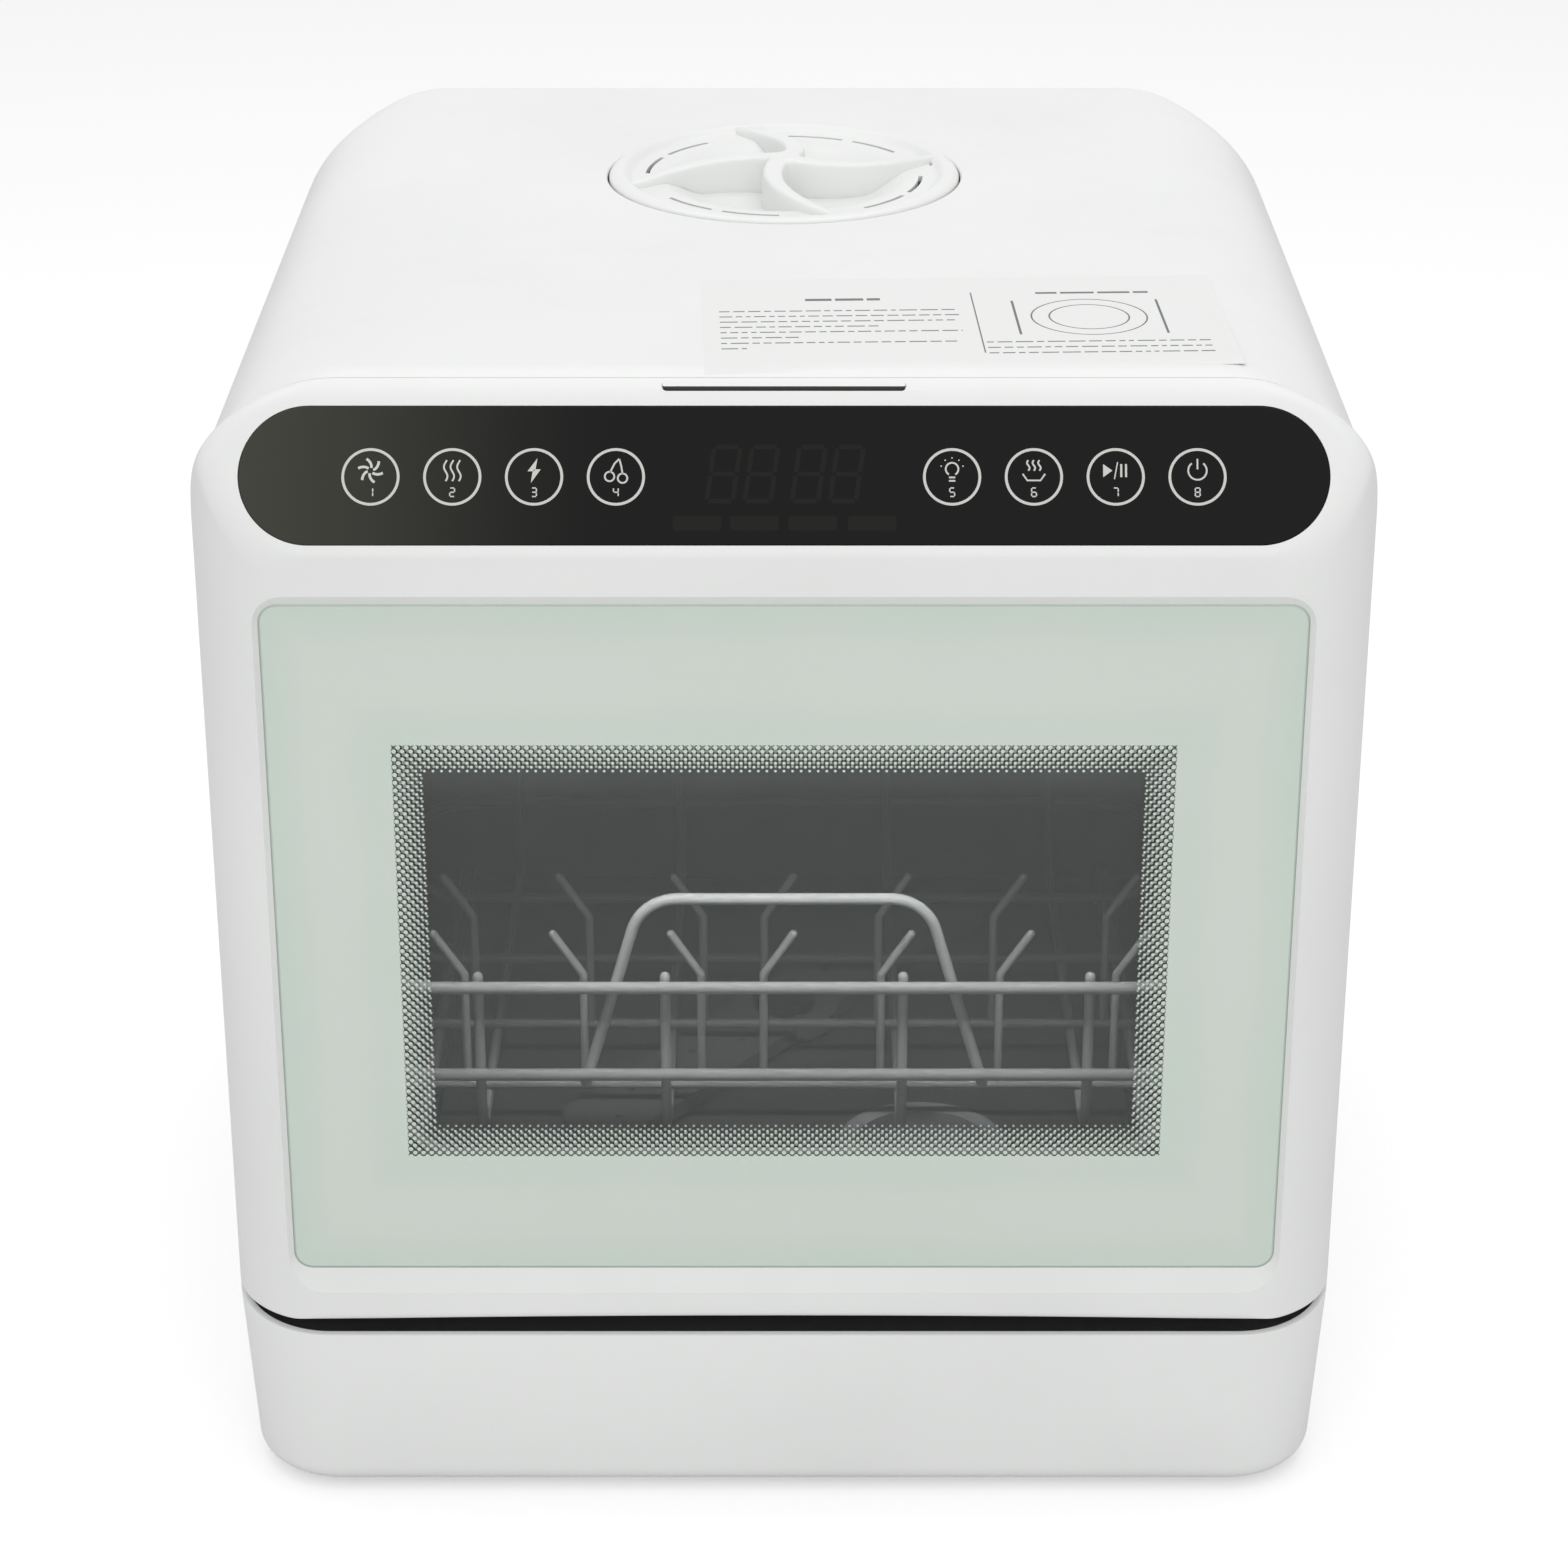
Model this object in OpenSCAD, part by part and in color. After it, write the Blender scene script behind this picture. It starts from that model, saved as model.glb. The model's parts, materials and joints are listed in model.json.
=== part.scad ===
// Countertop dishwasher with a drop-down glass door, a pull-out wire basket,
// a built-in water tank and a pinwheel fill cap on the top.
// Millimetres. X runs to the right, Y to the back and Z up.
// The origin is on the table, under the middle of the machine.

/* [Body] */
// Width over the side walls
body_w = 420; // [410:1:440]
// Depth from the door's front face to the back wall
body_d = 435; // [430:1:460]
// Height from the table to the flat top
body_h = 445; // [442:1:470]
// Radius of the two long edges between top and sides
top_edge_r = 57; // [50:1:62]
// Plan radius of the two front corners
front_corner_r = 38; // [34:1:42]
// Plan radius of the two back corners
back_corner_r = 46; // [36:1:52]
// Radius of the edge between top and back
back_edge_r = 10; // [6:1:14]
// Wall of the cabinet wrap and of the base
shell_wall = 2.6; // [2:0.1:3]

/* [Base] */
// Height of the base's front lip above the table
base_front_h = 73; // [70:0.5:75]
// Height of the base's side edges above the table
base_side_h = 76.7; // [76:0.1:78]
// How far the base's walls lean in towards the table
base_taper = 4.5; // [3:0.5:6]
// Radius of the base's lowest edge
base_edge_r = 10; // [7:1:12]
// Height of the rubber feet below the base
foot_h = 2; // [1.5:0.1:4]
// Radius of a rubber foot
foot_r = 9; // [7:0.5:12]

/* [Door] */
// Thickness of the door at its edge
door_t = 33.5; // [33:0.1:34]
// Wall of the door frame
door_wall = 3; // [2.6:0.1:3.2]
// Dark gap between the base lip and the door
door_gap = 5.6; // [5:0.1:7]
// Seam between the door and the cabinet
seam = 0.8; // [0.6:0.1:1.2]
// Radius of the door's lower front edge
door_edge_r = 4; // [3:0.5:5]
// Depth of the hinge axis behind the door's face
hinge_depth = 8; // [7.8:0.1:8.4]
// Height of the hinge axis above the door's lower edge
hinge_rise = 5.9; // [5.6:0.1:6.2]
// Distance of a hinge from the middle of the machine
hinge_side = 160; // [140:1:164]
// Radius of the hinge pins
hinge_pin_r = 2; // [1.6:0.1:2.2]

/* [Glass] */
// Distance from the glass to the side of the body
glass_side = 25.5; // [24:0.5:30]
// Distance from the glass to the door's lower edge
glass_low = 21.1; // [20.5:0.1:26]
// Distance from the glass to the brow's lower crease
glass_high = 20.2; // [18:0.1:26]
// Depth of the glass behind the door's face
glass_sink = 5; // [4:0.5:6]
// Thickness of the front glass
glass_t = 4; // [3:0.5:4.5]
// Corner radius of the front glass
glass_corner_r = 7; // [5:1:10]
// Width of the bevel beside the glass
bevel_side = 4.4; // [3:0.2:6]
// Height of the sloping sill below the glass
bevel_low = 7.9; // [6:0.1:8.2]
// Height of the bevel above the glass
bevel_high = 4.8; // [3:0.2:6]
// Width of the opening behind the glass
port_w = 287; // [270:1:290]
// Height of the opening behind the glass
port_h = 180; // [160:1:182]
// Height of the middle of that opening above the table
port_z = 224; // [222:1:230]
// Corner radius of that opening
port_r = 20; // [8:1:24]
// Thickness of the inner window
inner_glass_t = 3; // [2.5:0.5:4]

/* [Control brow] */
// Height of the tilted brow, from its crease to the top
brow_drop = 56; // [54:1:62]
// Tilt of the brow from upright, in degrees
brow_tilt = 30; // [28:1:32]
// Radius between the brow and the top
brow_r = 20; // [18:1:21]
// Distance from the black lens to the side of the body
lens_side = 20.4; // [19:0.2:26]
// Height of the black lens along the brow
lens_h = 48; // [40:0.5:49]
// Middle of the lens above the crease, along the brow
lens_rise = 27.8; // [27:0.1:28]
// Thickness of the lens
lens_t = 2; // [1.5:0.1:2.5]
// Distance of the first touch key from the middle
key_first = 58.35; // [50:0.5:62]
// Spacing of the touch keys
key_pitch = 28.4; // [25:0.1:28.4]
// Touch keys on each side of the display
keys_per_side = 4; // [3:1:4]

/* [Release bar] */
// Length of the release bar in the door's top edge
bar_l = 84; // [60:1:110]
// Thickness of the release bar
bar_t = 2.5; // [2.2:0.1:2.6]
// Middle of the bar behind the door's face
bar_depth = 30; // [29.6:0.1:30.2]
// Travel of the bar when it is pressed
bar_travel = 2.5; // [1.5:0.1:2.6]

/* [Wash tub] */
// Space between the tub and each side of the body
tub_side = 34; // [32:1:40]
// Height of the tub floor above the table
tub_floor = 110; // [110:0.5:112]
// Space between the tub ceiling and the flat top
tub_head = 59; // [57:1:64]
// Space between the tub's back wall and the back of the body
tub_back = 110; // [104:1:120]
// Wall of the tub
tub_wall = 2; // [1.6:0.1:2.4]
// Corner radius of the tub
tub_r = 20; // [14:1:26]
// Height of the lip that keeps the water in the tub
tub_lip = 7; // [5:0.5:8]
// Face of the tub's front flange behind the door's face
flange_depth = 39; // [38.6:0.1:40]

/* [Basket] */
// Distance of the basket's front rail behind the door's face
basket_front = 62; // [60:1:70]
// Length of the basket, front rail to back rail
basket_l = 253; // [240:1:255]
// Space between the middle of a basket's side rail and the tub's wall
basket_side = 14; // [12:0.5:15]
// Height of the upper rail
rail_high = 189; // [182:1:196]
// Height of the lower rail
rail_low = 151.5; // [145:0.5:158]
// Radius of the rail wire
rail_r = 2.4; // [2:0.1:2.6]
// Radius of the hoop wire
hoop_r = 2; // [1.6:0.1:2.2]
// Radius of the tine wire
tine_r = 1.6; // [1.3:0.1:1.8]
// Middle height of the hoops' lowest run
hoop_floor = 123; // [123:0.1:124]
// Height of the tips of the tines
tine_tip = 194.5; // [188:0.5:200]
// Height of the knee of a tine
tine_knee = 175.5; // [168:0.5:178]
// Sideways lean of a tine's tip
tine_lean = 12.5; // [8:0.5:14]
// Height of the handle arch
handle_top = 224.5; // [215:0.5:232]
// Width between the feet of the handle
handle_w = 153; // [140:1:156]
// Height of the feet of the handle
handle_foot = 146; // [143:0.5:148]
// Radius of the handle wire
handle_r = 2.2; // [1.8:0.1:2.4]
// Travel of the basket
basket_travel = 100; // [60:1:110]

/* [Spray arm] */
// Half length of the spray arm
arm_half = 135; // [120:1:135]
// Half width of the spray arm
arm_r = 17; // [13:0.5:18]
// Thickness of the spray arm
arm_t = 6.5; // [5:0.1:6.5]
// Resting direction of the spray arm from +X, in degrees
arm_angle = 53.5; // [0:0.5:90]

/* [Filter and pumps] */
// Distance of the filter from the drain pump, to its left
pump_pitch = 68; // [64:1:74]
// Place of the filter behind the door's face
filter_depth = 79; // [78:1:84]
// Radius of the filter's rim
filter_r = 33; // [30:0.5:33]
// Radius of the wash pump
pump_r = 34; // [28:1:36]
// Radius of the wash pump's impeller
impeller_r = 26; // [20:1:26]
// Height of the pipes under the tub
pipe_z = 94; // [92.5:0.1:94]
// Radius of the drain pump
drain_pump_r = 13; // [11:0.5:13]
// Place of the drain pump and its connector inside the edge of the back panel
drain_side = 36; // [32:1:40]
// Outer radius of the hoses
hose_r = 7.5; // [6.5:0.1:8]
// Outer radius of the tap connector
tap_r = 13.2; // [12:0.1:13.4]

/* [Tank and fill cap] */
// Depth of the water tank
tank_d = 96; // [80:1:97]
// Width of the water tank
tank_w = 280; // [240:2:300]
// Height of the tank's floor above the table
tank_floor = 170; // [160:1:200]
// Radius of the fill cap
cap_r = 71; // [64:0.5:72]
// Middle of the fill cap in front of the back of the body
cap_back = 148; // [145:1:153]
// Height of the cap's rim above the top
cap_rise = 4; // [2:0.1:6]
// Width of the cap's rim, from its outer edge to its crest
rim_w = 5.5; // [4:0.1:7]
// Depth of the cap's slotted ring below its rim
cap_step = 4.5; // [2:0.1:6]
// Depth of the cap's bowl below its rim
cap_bowl = 14.6; // [10:0.1:15]
// Height of the cap's middle above its rim
hub_rise = 4; // [1:0.1:8]
// Width of a fin
fin_w = 6; // [4:0.5:8]
// Lift of the fill cap
cap_lift = 40; // [20:1:60]

/* [Blower] */
// Radius of the drying blower
blower_r = 46; // [40:1:48]
// Radius of the blower's wheel
wheel_r = 38; // [30:1:39]

/* [Hidden] */
$fn = 96;

gap = 0.3;                                   // running space between bodies
plan_slack = 0.05;
crease_z = body_h - brow_drop;               // lower edge of the tilted brow
door_low = base_front_h + door_gap;          // lower edge of the door
cabinet_low = base_side_h + gap;             // lower edge of the cabinet wrap
seam_depth = door_t + seam;                  // front edge of the cabinet wrap
hinge_z = door_low + hinge_rise;
brow_axis_z = body_h - brow_r;
brow_axis_y = ((brow_axis_z - crease_z) * sin(brow_tilt) + brow_r) / cos(brow_tilt);

glass_z0 = door_low + glass_low;
glass_z1 = crease_z - glass_high;
glass_w = body_w - 2 * glass_side;
glass_mid = (glass_z0 + glass_z1) / 2;
seat_depth = glass_sink + glass_t;           // back of the front glass
seat_t = 2.5;                                // ledge behind the front glass
seat_rim = 3;                                // wall round the front glass
lens_w = body_w - 2 * lens_side;
lens_back = lens_t + 2.5;                    // back of the brow's seat for the lens
board_y = lens_back + 2.5;                   // face of the control board, from the brow
board_t = 1.6;
board_l = 2 * (key_first + (keys_per_side - 1) * key_pitch) + 14;
board_h = 20;
board_rise = lens_rise - 3.8;                // middle of the board above the crease

inner_y = door_t - 3.5;                      // face of the inner panel's plate
land_y = door_t + 2.5;                       // sealing land of the inner panel

mouth_w = body_w - 2 * tub_side;             // inside width of the tub
tub_ceiling = body_h - tub_head;
tub_y0 = flange_depth;
tub_y1 = body_d - tub_back;                  // inner face of the tub's back wall
tub_mid_y = (tub_y0 + tub_wall + tub_y1) / 2;
tub_h = tub_ceiling - tub_floor;
flange_low = hinge_z + 7.5;
seal_gap = 2;                                // from the mouth to the seal
seal_w = 6;

chassis_z = base_side_h - 2.7;
chassis_t = 2;
chassis_top = chassis_z + chassis_t;
base_floor = foot_h + shell_wall;
strip_z = base_front_h - 5;

hook_y = 24;                                 // latch pivot behind the door's face
hook_z = tub_ceiling + 18;
hook_top = hook_z + 2.3;                     // upper edge of the hook's arm
hook_w = 6;
tooth_y = tub_y0 + tub_wall + 2.2;           // front of the hook's tooth
strike_t = 1.6;

basket_w = mouth_w - 2 * basket_side;        // between the middles of the side rails
hoop_x = [45 - basket_w / 2, -45.5, 45.5, basket_w / 2 - 45];
cross_y = [100, 151, 210, 268];              // cross hoops, the first two carry tines
tine_x = [-125, -78.5, -32.5, -8, 38, 84.5, 130];
tine_side = [-1, -1, -1, 1, 1, 1, 1];
rail_corner = 30;
cross_floor = hoop_floor + 2 * hoop_r;       // middle of the cross hoops' lowest run
runner_x = basket_w / 2 - 21;
rib_top = hoop_floor + hoop_r - 2 * rail_r - gap;
hoop_y0 = basket_front + rail_r + hoop_r;
hoop_y1 = basket_front + basket_l - rail_r - hoop_r;

arm_z = tub_floor + 3;
arm_top = arm_z + arm_t;
hub_r = 9;
hub_bore = 6;
riser_r = 12;
sump_r = filter_r + 4;
sump_wall = 2.5;
sump_floor = chassis_top + 4;
pump_top = chassis_z - 7;
pump_h = 24;
motor_top = pump_top - pump_h;
shaft_r = 3;
fit = 0.05;                                  // radial play of a shaft in its bore

panel_t = 2.5;
panel_w = body_w - 104;
panel_top = body_h - 21;
drain_x = panel_w / 2 - drain_side;
filter_x = drain_x - pump_pitch;
niche_y = body_d - 24;                       // back wall of the connector niche
niche_x0 = filter_x - tap_r - 8;
niche_x1 = drain_x + 22;
niche_top = pipe_z + 18;
gland_x = 38 - panel_w / 2;

tank_y0 = tub_y1 + tub_wall + 4;
tank_top = tub_ceiling + 6;
tank_wall = 2.2;
cap_depth = body_d - cap_back;
neck_y = tank_y0 + 14;                       // spout from the funnel into the tank
funnel_r = cap_r + 5;
funnel_wall = 2;
funnel_floor = tank_top + 4;
ledge_top = body_h - 8;
seal_t = 2;
cap_low = ledge_top + seal_t + 2 * gap;      // underside of the cap's rim
plug_r = cap_r - 7;                          // outer radius of the cap's skirt
plug_z = body_h - 15;                        // lower edge of the cap's skirt
cap_wall = 2.4;
cap_top = body_h + cap_rise;                 // crest of the cap's rim
crest_r = cap_r - rim_w;
ring_z = cap_top - cap_step;                 // top of the slotted ring
ring_r = crest_r - 14;
bowl_z = cap_top - cap_bowl;                 // floor of the bowl
bowl_r = ring_r - 9;

blower_x = -110;
blower_y = 122;
blower_z = tub_ceiling + 6;
blower_h = 30;

module from_front() translate([0, -body_d / 2, 0]) children();

// A drawing in Y and Z, made into a bar of width w along X.
module along_x(w) rotate([90, 0, 90]) linear_extrude(w, center = true) children();

// A drawing in X and Z, made into a slab from depth y0 to depth y1.
module along_y(y0, y1) translate([0, y1, 0]) rotate([90, 0, 0]) linear_extrude(y1 - y0) children();

module along_z(z0, z1) translate([0, 0, z0]) linear_extrude(z1 - z0) children();

module rod_x(r, x0, x1) translate([x0, 0, 0]) rotate([0, 90, 0]) cylinder(r = r, h = x1 - x0);

module rod_y(r, y0, y1) translate([0, y0, 0]) rotate([-90, 0, 0]) cylinder(r = r, h = y1 - y0);

module on_brow() translate([0, 0, crease_z]) rotate([-brow_tilt, 0, 0]) children();

module round_rect(w, h, r) {
    square([w - 2 * r, h], center = true);
    square([w, h - 2 * r], center = true);
    for (sx = [-1, 1], sy = [-1, 1])
        translate([sx * (w / 2 - r), sy * (h / 2 - r)]) circle(r);
}

// A bar with half-round ends.
module stadium(w, h) {
    square([w - h, h], center = true);
    for (s = [-1, 1])
        translate([s * (w - h) / 2, 0]) circle(h / 2);
}

// Front outline of the body, inset by t, with round upper corners.
module arch2d(t, z0) {
    half = body_w / 2 - t;
    r = top_edge_r - t;
    translate([-half, z0]) square([2 * half, body_h - t - r - z0]);
    translate([r - half, z0]) square([2 * (half - r), body_h - t - z0]);
    for (s = [-1, 1])
        translate([s * (half - r), body_h - t - r]) circle(r);
}

// Plan outline of the body, inset by t, with round corners. It is a trace wider than the
// side walls, so that its corners cross them instead of touching them.
module plan2d(t) {
    half = body_w / 2 - t + plan_slack;
    rf = front_corner_r - t;
    rb = back_corner_r - t;
    translate([-half, front_corner_r]) square([2 * half, body_d - front_corner_r - back_corner_r]);
    translate([rf - half, t]) square([2 * (half - rf), front_corner_r]);
    translate([rb - half, body_d - back_corner_r - 1]) square([2 * (half - rb), back_corner_r + 1 - t]);
    for (s = [-1, 1]) {
        translate([s * (half - rf), front_corner_r]) circle(rf);
        translate([s * (half - rb), body_d - back_corner_r]) circle(rb);
    }
}

// Side outline of the whole body, inset by t: upright face, tilted brow, round top, back.
module side2d(t) {
    r = brow_r - t;
    top = body_h - t;
    tip_y = brow_axis_y - r * tan((90 - brow_tilt) / 2);
    difference() {
        polygon([
            [t, 0], [t, crease_z - t * tan(brow_tilt / 2)], [tip_y, top], [body_d - t, top], [body_d - t, 0]
        ]);
        difference() {
            polygon([
                [brow_axis_y - r * cos(brow_tilt), brow_axis_z + r * sin(brow_tilt)],
                [tip_y - r, top + r], [brow_axis_y, top], [brow_axis_y, brow_axis_z]
            ]);
            translate([brow_axis_y, brow_axis_z]) circle(r);
        }
        translate([body_d - back_edge_r, body_h - back_edge_r]) difference() {
            square(back_edge_r + 1);
            circle(back_edge_r - t);
        }
    }
}

// The door's block, inset by t; its hollow runs out through the back by past.
module door_block(t, past) {
    rear = door_t + past;
    low = door_low + t;
    intersection() {
        along_x(body_w) difference() {
            intersection() {
                side2d(t);
                polygon([
                    [0, low], [door_t - 1 + past, low], [rear, hinge_z], [rear, body_h], [0, body_h]
                ]);
            }
            if (t == 0)
                translate([0, low]) difference() {
                    square(door_edge_r);
                    translate([door_edge_r, door_edge_r]) circle(door_edge_r);
                }
        }
        along_y(0, rear) arch2d(t, 0);
        along_z(0, body_h) plan2d(t);
    }
}

// The cabinet's block, inset by t; its hollow runs out through the front and the bottom.
module cabinet_block(t, past) {
    intersection() {
        along_x(body_w) intersection() {
            side2d(t);
            translate([seam_depth - past, cabinet_low - past]) square([body_d, body_h]);
        }
        along_y(0, body_d) arch2d(t, 0);
        along_z(0, body_h) plan2d(t);
    }
}

// Upright section of the base between a and b, inset by t, with a round lower edge.
module base2d(a, b, t) {
    lean = atan(base_taper / (base_side_h - foot_h));
    r = base_edge_r - t;
    foot_in = base_taper - base_edge_r * tan(lean) + base_edge_r / cos(lean);
    top_in = t / cos(lean);
    top_z = base_side_h + t;
    top_out = top_in - t * tan(lean);
    polygon([
        [a + foot_in, foot_h + t],
        [b - foot_in, foot_h + t],
        [b - foot_in, foot_h + base_edge_r],
        [b - foot_in + r * cos(lean), foot_h + base_edge_r - r * sin(lean)],
        [b - top_out, top_z],
        [a + top_out, top_z],
        [a + foot_in - r * cos(lean), foot_h + base_edge_r - r * sin(lean)],
        [a + foot_in, foot_h + base_edge_r]
    ]);
    translate([a + foot_in, foot_h + base_edge_r]) circle(r);
    translate([b - foot_in, foot_h + base_edge_r]) circle(r);
}

module base_block(t) {
    intersection() {
        intersection() {
            along_x(body_w) intersection() {
                base2d(0, body_d, t);
                polygon([
                    [0, 0], [body_d, 0], [body_d, base_side_h + t],
                    [front_corner_r, base_side_h + t], [0, base_front_h + t]
                ]);
            }
            along_z(0, body_h) plan2d(t);
        }
        along_y(0, body_d) base2d(-body_w / 2, body_w / 2, t);
    }
}

// Posts of the base stand under the legs of the tub.
leg_spots = [
    for (s = [-1, 1]) [s * (mouth_w / 2 - 58), tub_y0 + 13],
    for (s = [-1, 1]) [s * (mouth_w / 2 - 26), tub_y1 - 25]
];

module base_tub() color("whitesmoke") from_front() {
    difference() {
        base_block(0);
        base_block(shell_wall);
    }
    for (p = leg_spots)
        translate([p[0], p[1], base_floor]) cylinder(r = 6, h = chassis_z - base_floor);
}

module rubber_feet() color("dimgray") from_front()
    for (sx = [-1, 1], y = [48, body_d - 52])
        translate([sx * (body_w / 2 - 60), y, 0]) cylinder(r = foot_r, h = foot_h);

module gap_strip() color("black") from_front()
    along_z(strip_z, strip_z + 2.5) intersection() {
        plan2d(shell_wall + 0.8);
        translate([-body_w / 2, 0]) square([body_w, front_corner_r + 1]);
    }

module chassis_plate() color("silver") from_front() difference() {
    along_z(chassis_z, chassis_top) difference() {
        plan2d(shell_wall + 0.6);
        translate([-body_w / 2, 0]) square([body_w, flange_depth + 1]);
        translate([filter_x, filter_depth]) circle(r = 14);
        translate([0, tub_mid_y]) circle(r = riser_r + 2);
    }
}

module cabinet_wrap() color("whitesmoke") from_front() difference() {
    cabinet_block(0, 0);
    cabinet_block(shell_wall, shell_wall + 2);
    translate([-panel_w / 2 - gap, body_d - 12, 0]) cube([panel_w + 2 * gap, 20, panel_top + gap]);
    translate([0, cap_depth, body_h - 6]) cylinder(r = cap_r + 1, h = 12);
}

module back_panel() color("gainsboro") from_front() difference() {
    union() {
        along_y(body_d - panel_t, body_d) translate([-panel_w / 2, cabinet_low])
            square([panel_w, panel_top - cabinet_low]);
        translate([niche_x0, niche_y - panel_t, cabinet_low])
            cube([niche_x1 - niche_x0, body_d - niche_y + panel_t, niche_top - cabinet_low]);
    }
    translate([niche_x0 + panel_t, niche_y, cabinet_low + panel_t])
        cube([niche_x1 - niche_x0 - 2 * panel_t, 40, niche_top - cabinet_low - 2 * panel_t]);
    for (x = [filter_x, drain_x])
        translate([x, 0, pipe_z]) rod_y(hose_r, niche_y - 10, niche_y + 10);
    translate([gland_x, 0, pipe_z]) rod_y(8, body_d - 20, body_d + 10);
    for (row = [0 : 6], col = [0 : 2])
        translate([-90 + 45 * col, body_d - 10, 150 + 9 * row]) cube([34, 20, 4]);
    for (s = screw_spots)
        translate([s[0], 0, s[1]]) rod_y(1.8, body_d - 20, body_d + 1);
}

screw_spots = [
    for (sx = [-1, 1], z = [cabinet_low + 53, panel_top - 154, panel_top - 12]) [sx * (panel_w / 2 - 8), z]
];

module back_screws() color("silver") from_front()
    for (s = screw_spots)
        translate([s[0], 0, s[1]]) difference() {
            rod_y(1.8, body_d - 8, body_d);
            translate([-0.4, body_d - 0.8, -1.4]) cube([0.8, 2, 2.8]);
            translate([-1.4, body_d - 0.8, -0.4]) cube([2.8, 2, 0.8]);
        }

module mouth2d(grow, lip) intersection() {
    translate([0, (tub_floor + tub_ceiling) / 2])
        round_rect(mouth_w + 2 * grow, tub_h + 2 * grow, tub_r + grow);
    translate([-body_w, tub_floor + lip - grow]) square([2 * body_w, body_h]);
}

module wash_tub() color("slategray") from_front() difference() {
    union() {
        difference() {
            along_y(tub_y0, tub_y1 + tub_wall) mouth2d(tub_wall, 0);
            along_y(tub_y0 - 1, tub_y1) mouth2d(0, 0);
        }
        along_y(tub_y0, tub_y0 + tub_wall) difference() {
            arch2d(shell_wall + 0.8, flange_low);
            mouth2d(0, tub_lip);
        }
        for (s = [-1, 1])
            translate([s * runner_x - 4, tub_y0 + 10, tub_floor])
                cube([8, tub_y1 - tub_y0 - 20, rib_top - tub_floor]);
        for (p = leg_spots)
            translate([p[0], p[1], chassis_top]) cylinder(r = 8, h = tub_floor - tub_wall - chassis_top);
    }
    translate([filter_x, filter_depth, tub_floor - 10]) cylinder(r = filter_r - 3, h = 20);
    translate([0, tub_mid_y, tub_floor - 10]) cylinder(r = riser_r, h = 20);
    translate([blower_x, blower_y, tub_ceiling - 5]) cylinder(r = 12, h = 20);
    translate([-hook_w / 2 - 2, tub_y0 - 1, tub_ceiling + 7]) cube([hook_w + 4, 6, 19.4]);
}

module tub_seal() color("dimgray") from_front()
    along_y(land_y + gap, tub_y0) difference() {
        mouth2d(seal_gap + seal_w, tub_lip);
        mouth2d(seal_gap, tub_lip);
    }

module hinge_spots() for (s = [-1, 1]) translate([s * hinge_side, hinge_depth, hinge_z]) children();

arm_w = 5;                                   // thickness of a hinge bracket
boss_r = 3.7;                                // round end of a hinge bracket
ear_w = 6;                                   // thickness of a door ear beside a bracket

// Tapered recess in front of the glass: a block with four sloping sides.
module glass_recess() intersection() {
    rim = glass_w / 2 + bevel_side;
    back = glass_sink + 0.01;
    along_z(0, body_h) polygon([
        [-rim - bevel_side, -glass_sink], [rim + bevel_side, -glass_sink],
        [glass_w / 2, back], [-glass_w / 2, back]
    ]);
    along_x(body_w) polygon([
        [-glass_sink, glass_z0 - 2 * bevel_low], [back, glass_z0],
        [back, glass_z1], [-glass_sink, glass_z1 + 2 * bevel_high]
    ]);
}

module glass2d(grow) translate([0, glass_mid])
    round_rect(glass_w + 2 * grow, glass_z1 - glass_z0 + 2 * grow, glass_corner_r);

module lens2d(grow) translate([0, lens_rise]) stadium(lens_w + 2 * grow, lens_h + 2 * grow);

// Room for the release bar, from height z up.
module bar_slot(z) translate([-bar_l / 2 - 0.4, bar_depth - bar_t / 2 - 0.6, z])
    cube([bar_l + 0.8, bar_t + 1, body_h - z + 1]);

module door_frame() color("white") from_front() difference() {
    union() {
        difference() {
            door_block(0, 0);
            door_block(door_wall, 5);
        }
        intersection() {
            door_block(0, 0);
            union() {
                along_y(0, seat_depth + seat_t) translate([0, glass_mid]) square([
                    glass_w + 2 * bevel_side + 2 * seat_rim,
                    glass_z1 - glass_z0 + 2 * (bevel_low + seat_rim)
                ], center = true);
                intersection() {
                    on_brow() along_y(0, lens_back) lens2d(door_wall);
                    translate([-body_w / 2, 0, 0]) cube([body_w, inner_y, body_h]);
                }
                hinge_spots() for (s = [-1, 1])
                    translate([s * (arm_w / 2 + gap + ear_w / 2) - ear_w / 2, -6, -hinge_rise])
                        cube([ear_w, 13, hinge_rise + 5]);
            }
        }
    }
    glass_recess();
    along_y(glass_sink, seat_depth) glass2d(0.05);
    along_y(glass_sink, seat_depth + 10) glass2d(-7);
    on_brow() along_y(-4, lens_t) lens2d(0.1);
    on_brow() along_y(0, 20) translate([0, board_rise]) square([board_l - 4, board_h - 2], center = true);
    bar_slot(brow_axis_z);
    hinge_spots() {
        rod_x(hinge_pin_r + 0.02, -arm_w / 2 - ear_w, arm_w / 2 + ear_w);
        translate([-arm_w / 2 - gap, -4.4, -hinge_rise - 1]) cube([arm_w + 2 * gap, door_t, hinge_rise + 5]);
    }
}

module door_glass() color("honeydew", 0.5) from_front() along_y(glass_sink, seat_depth) glass2d(0);

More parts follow.
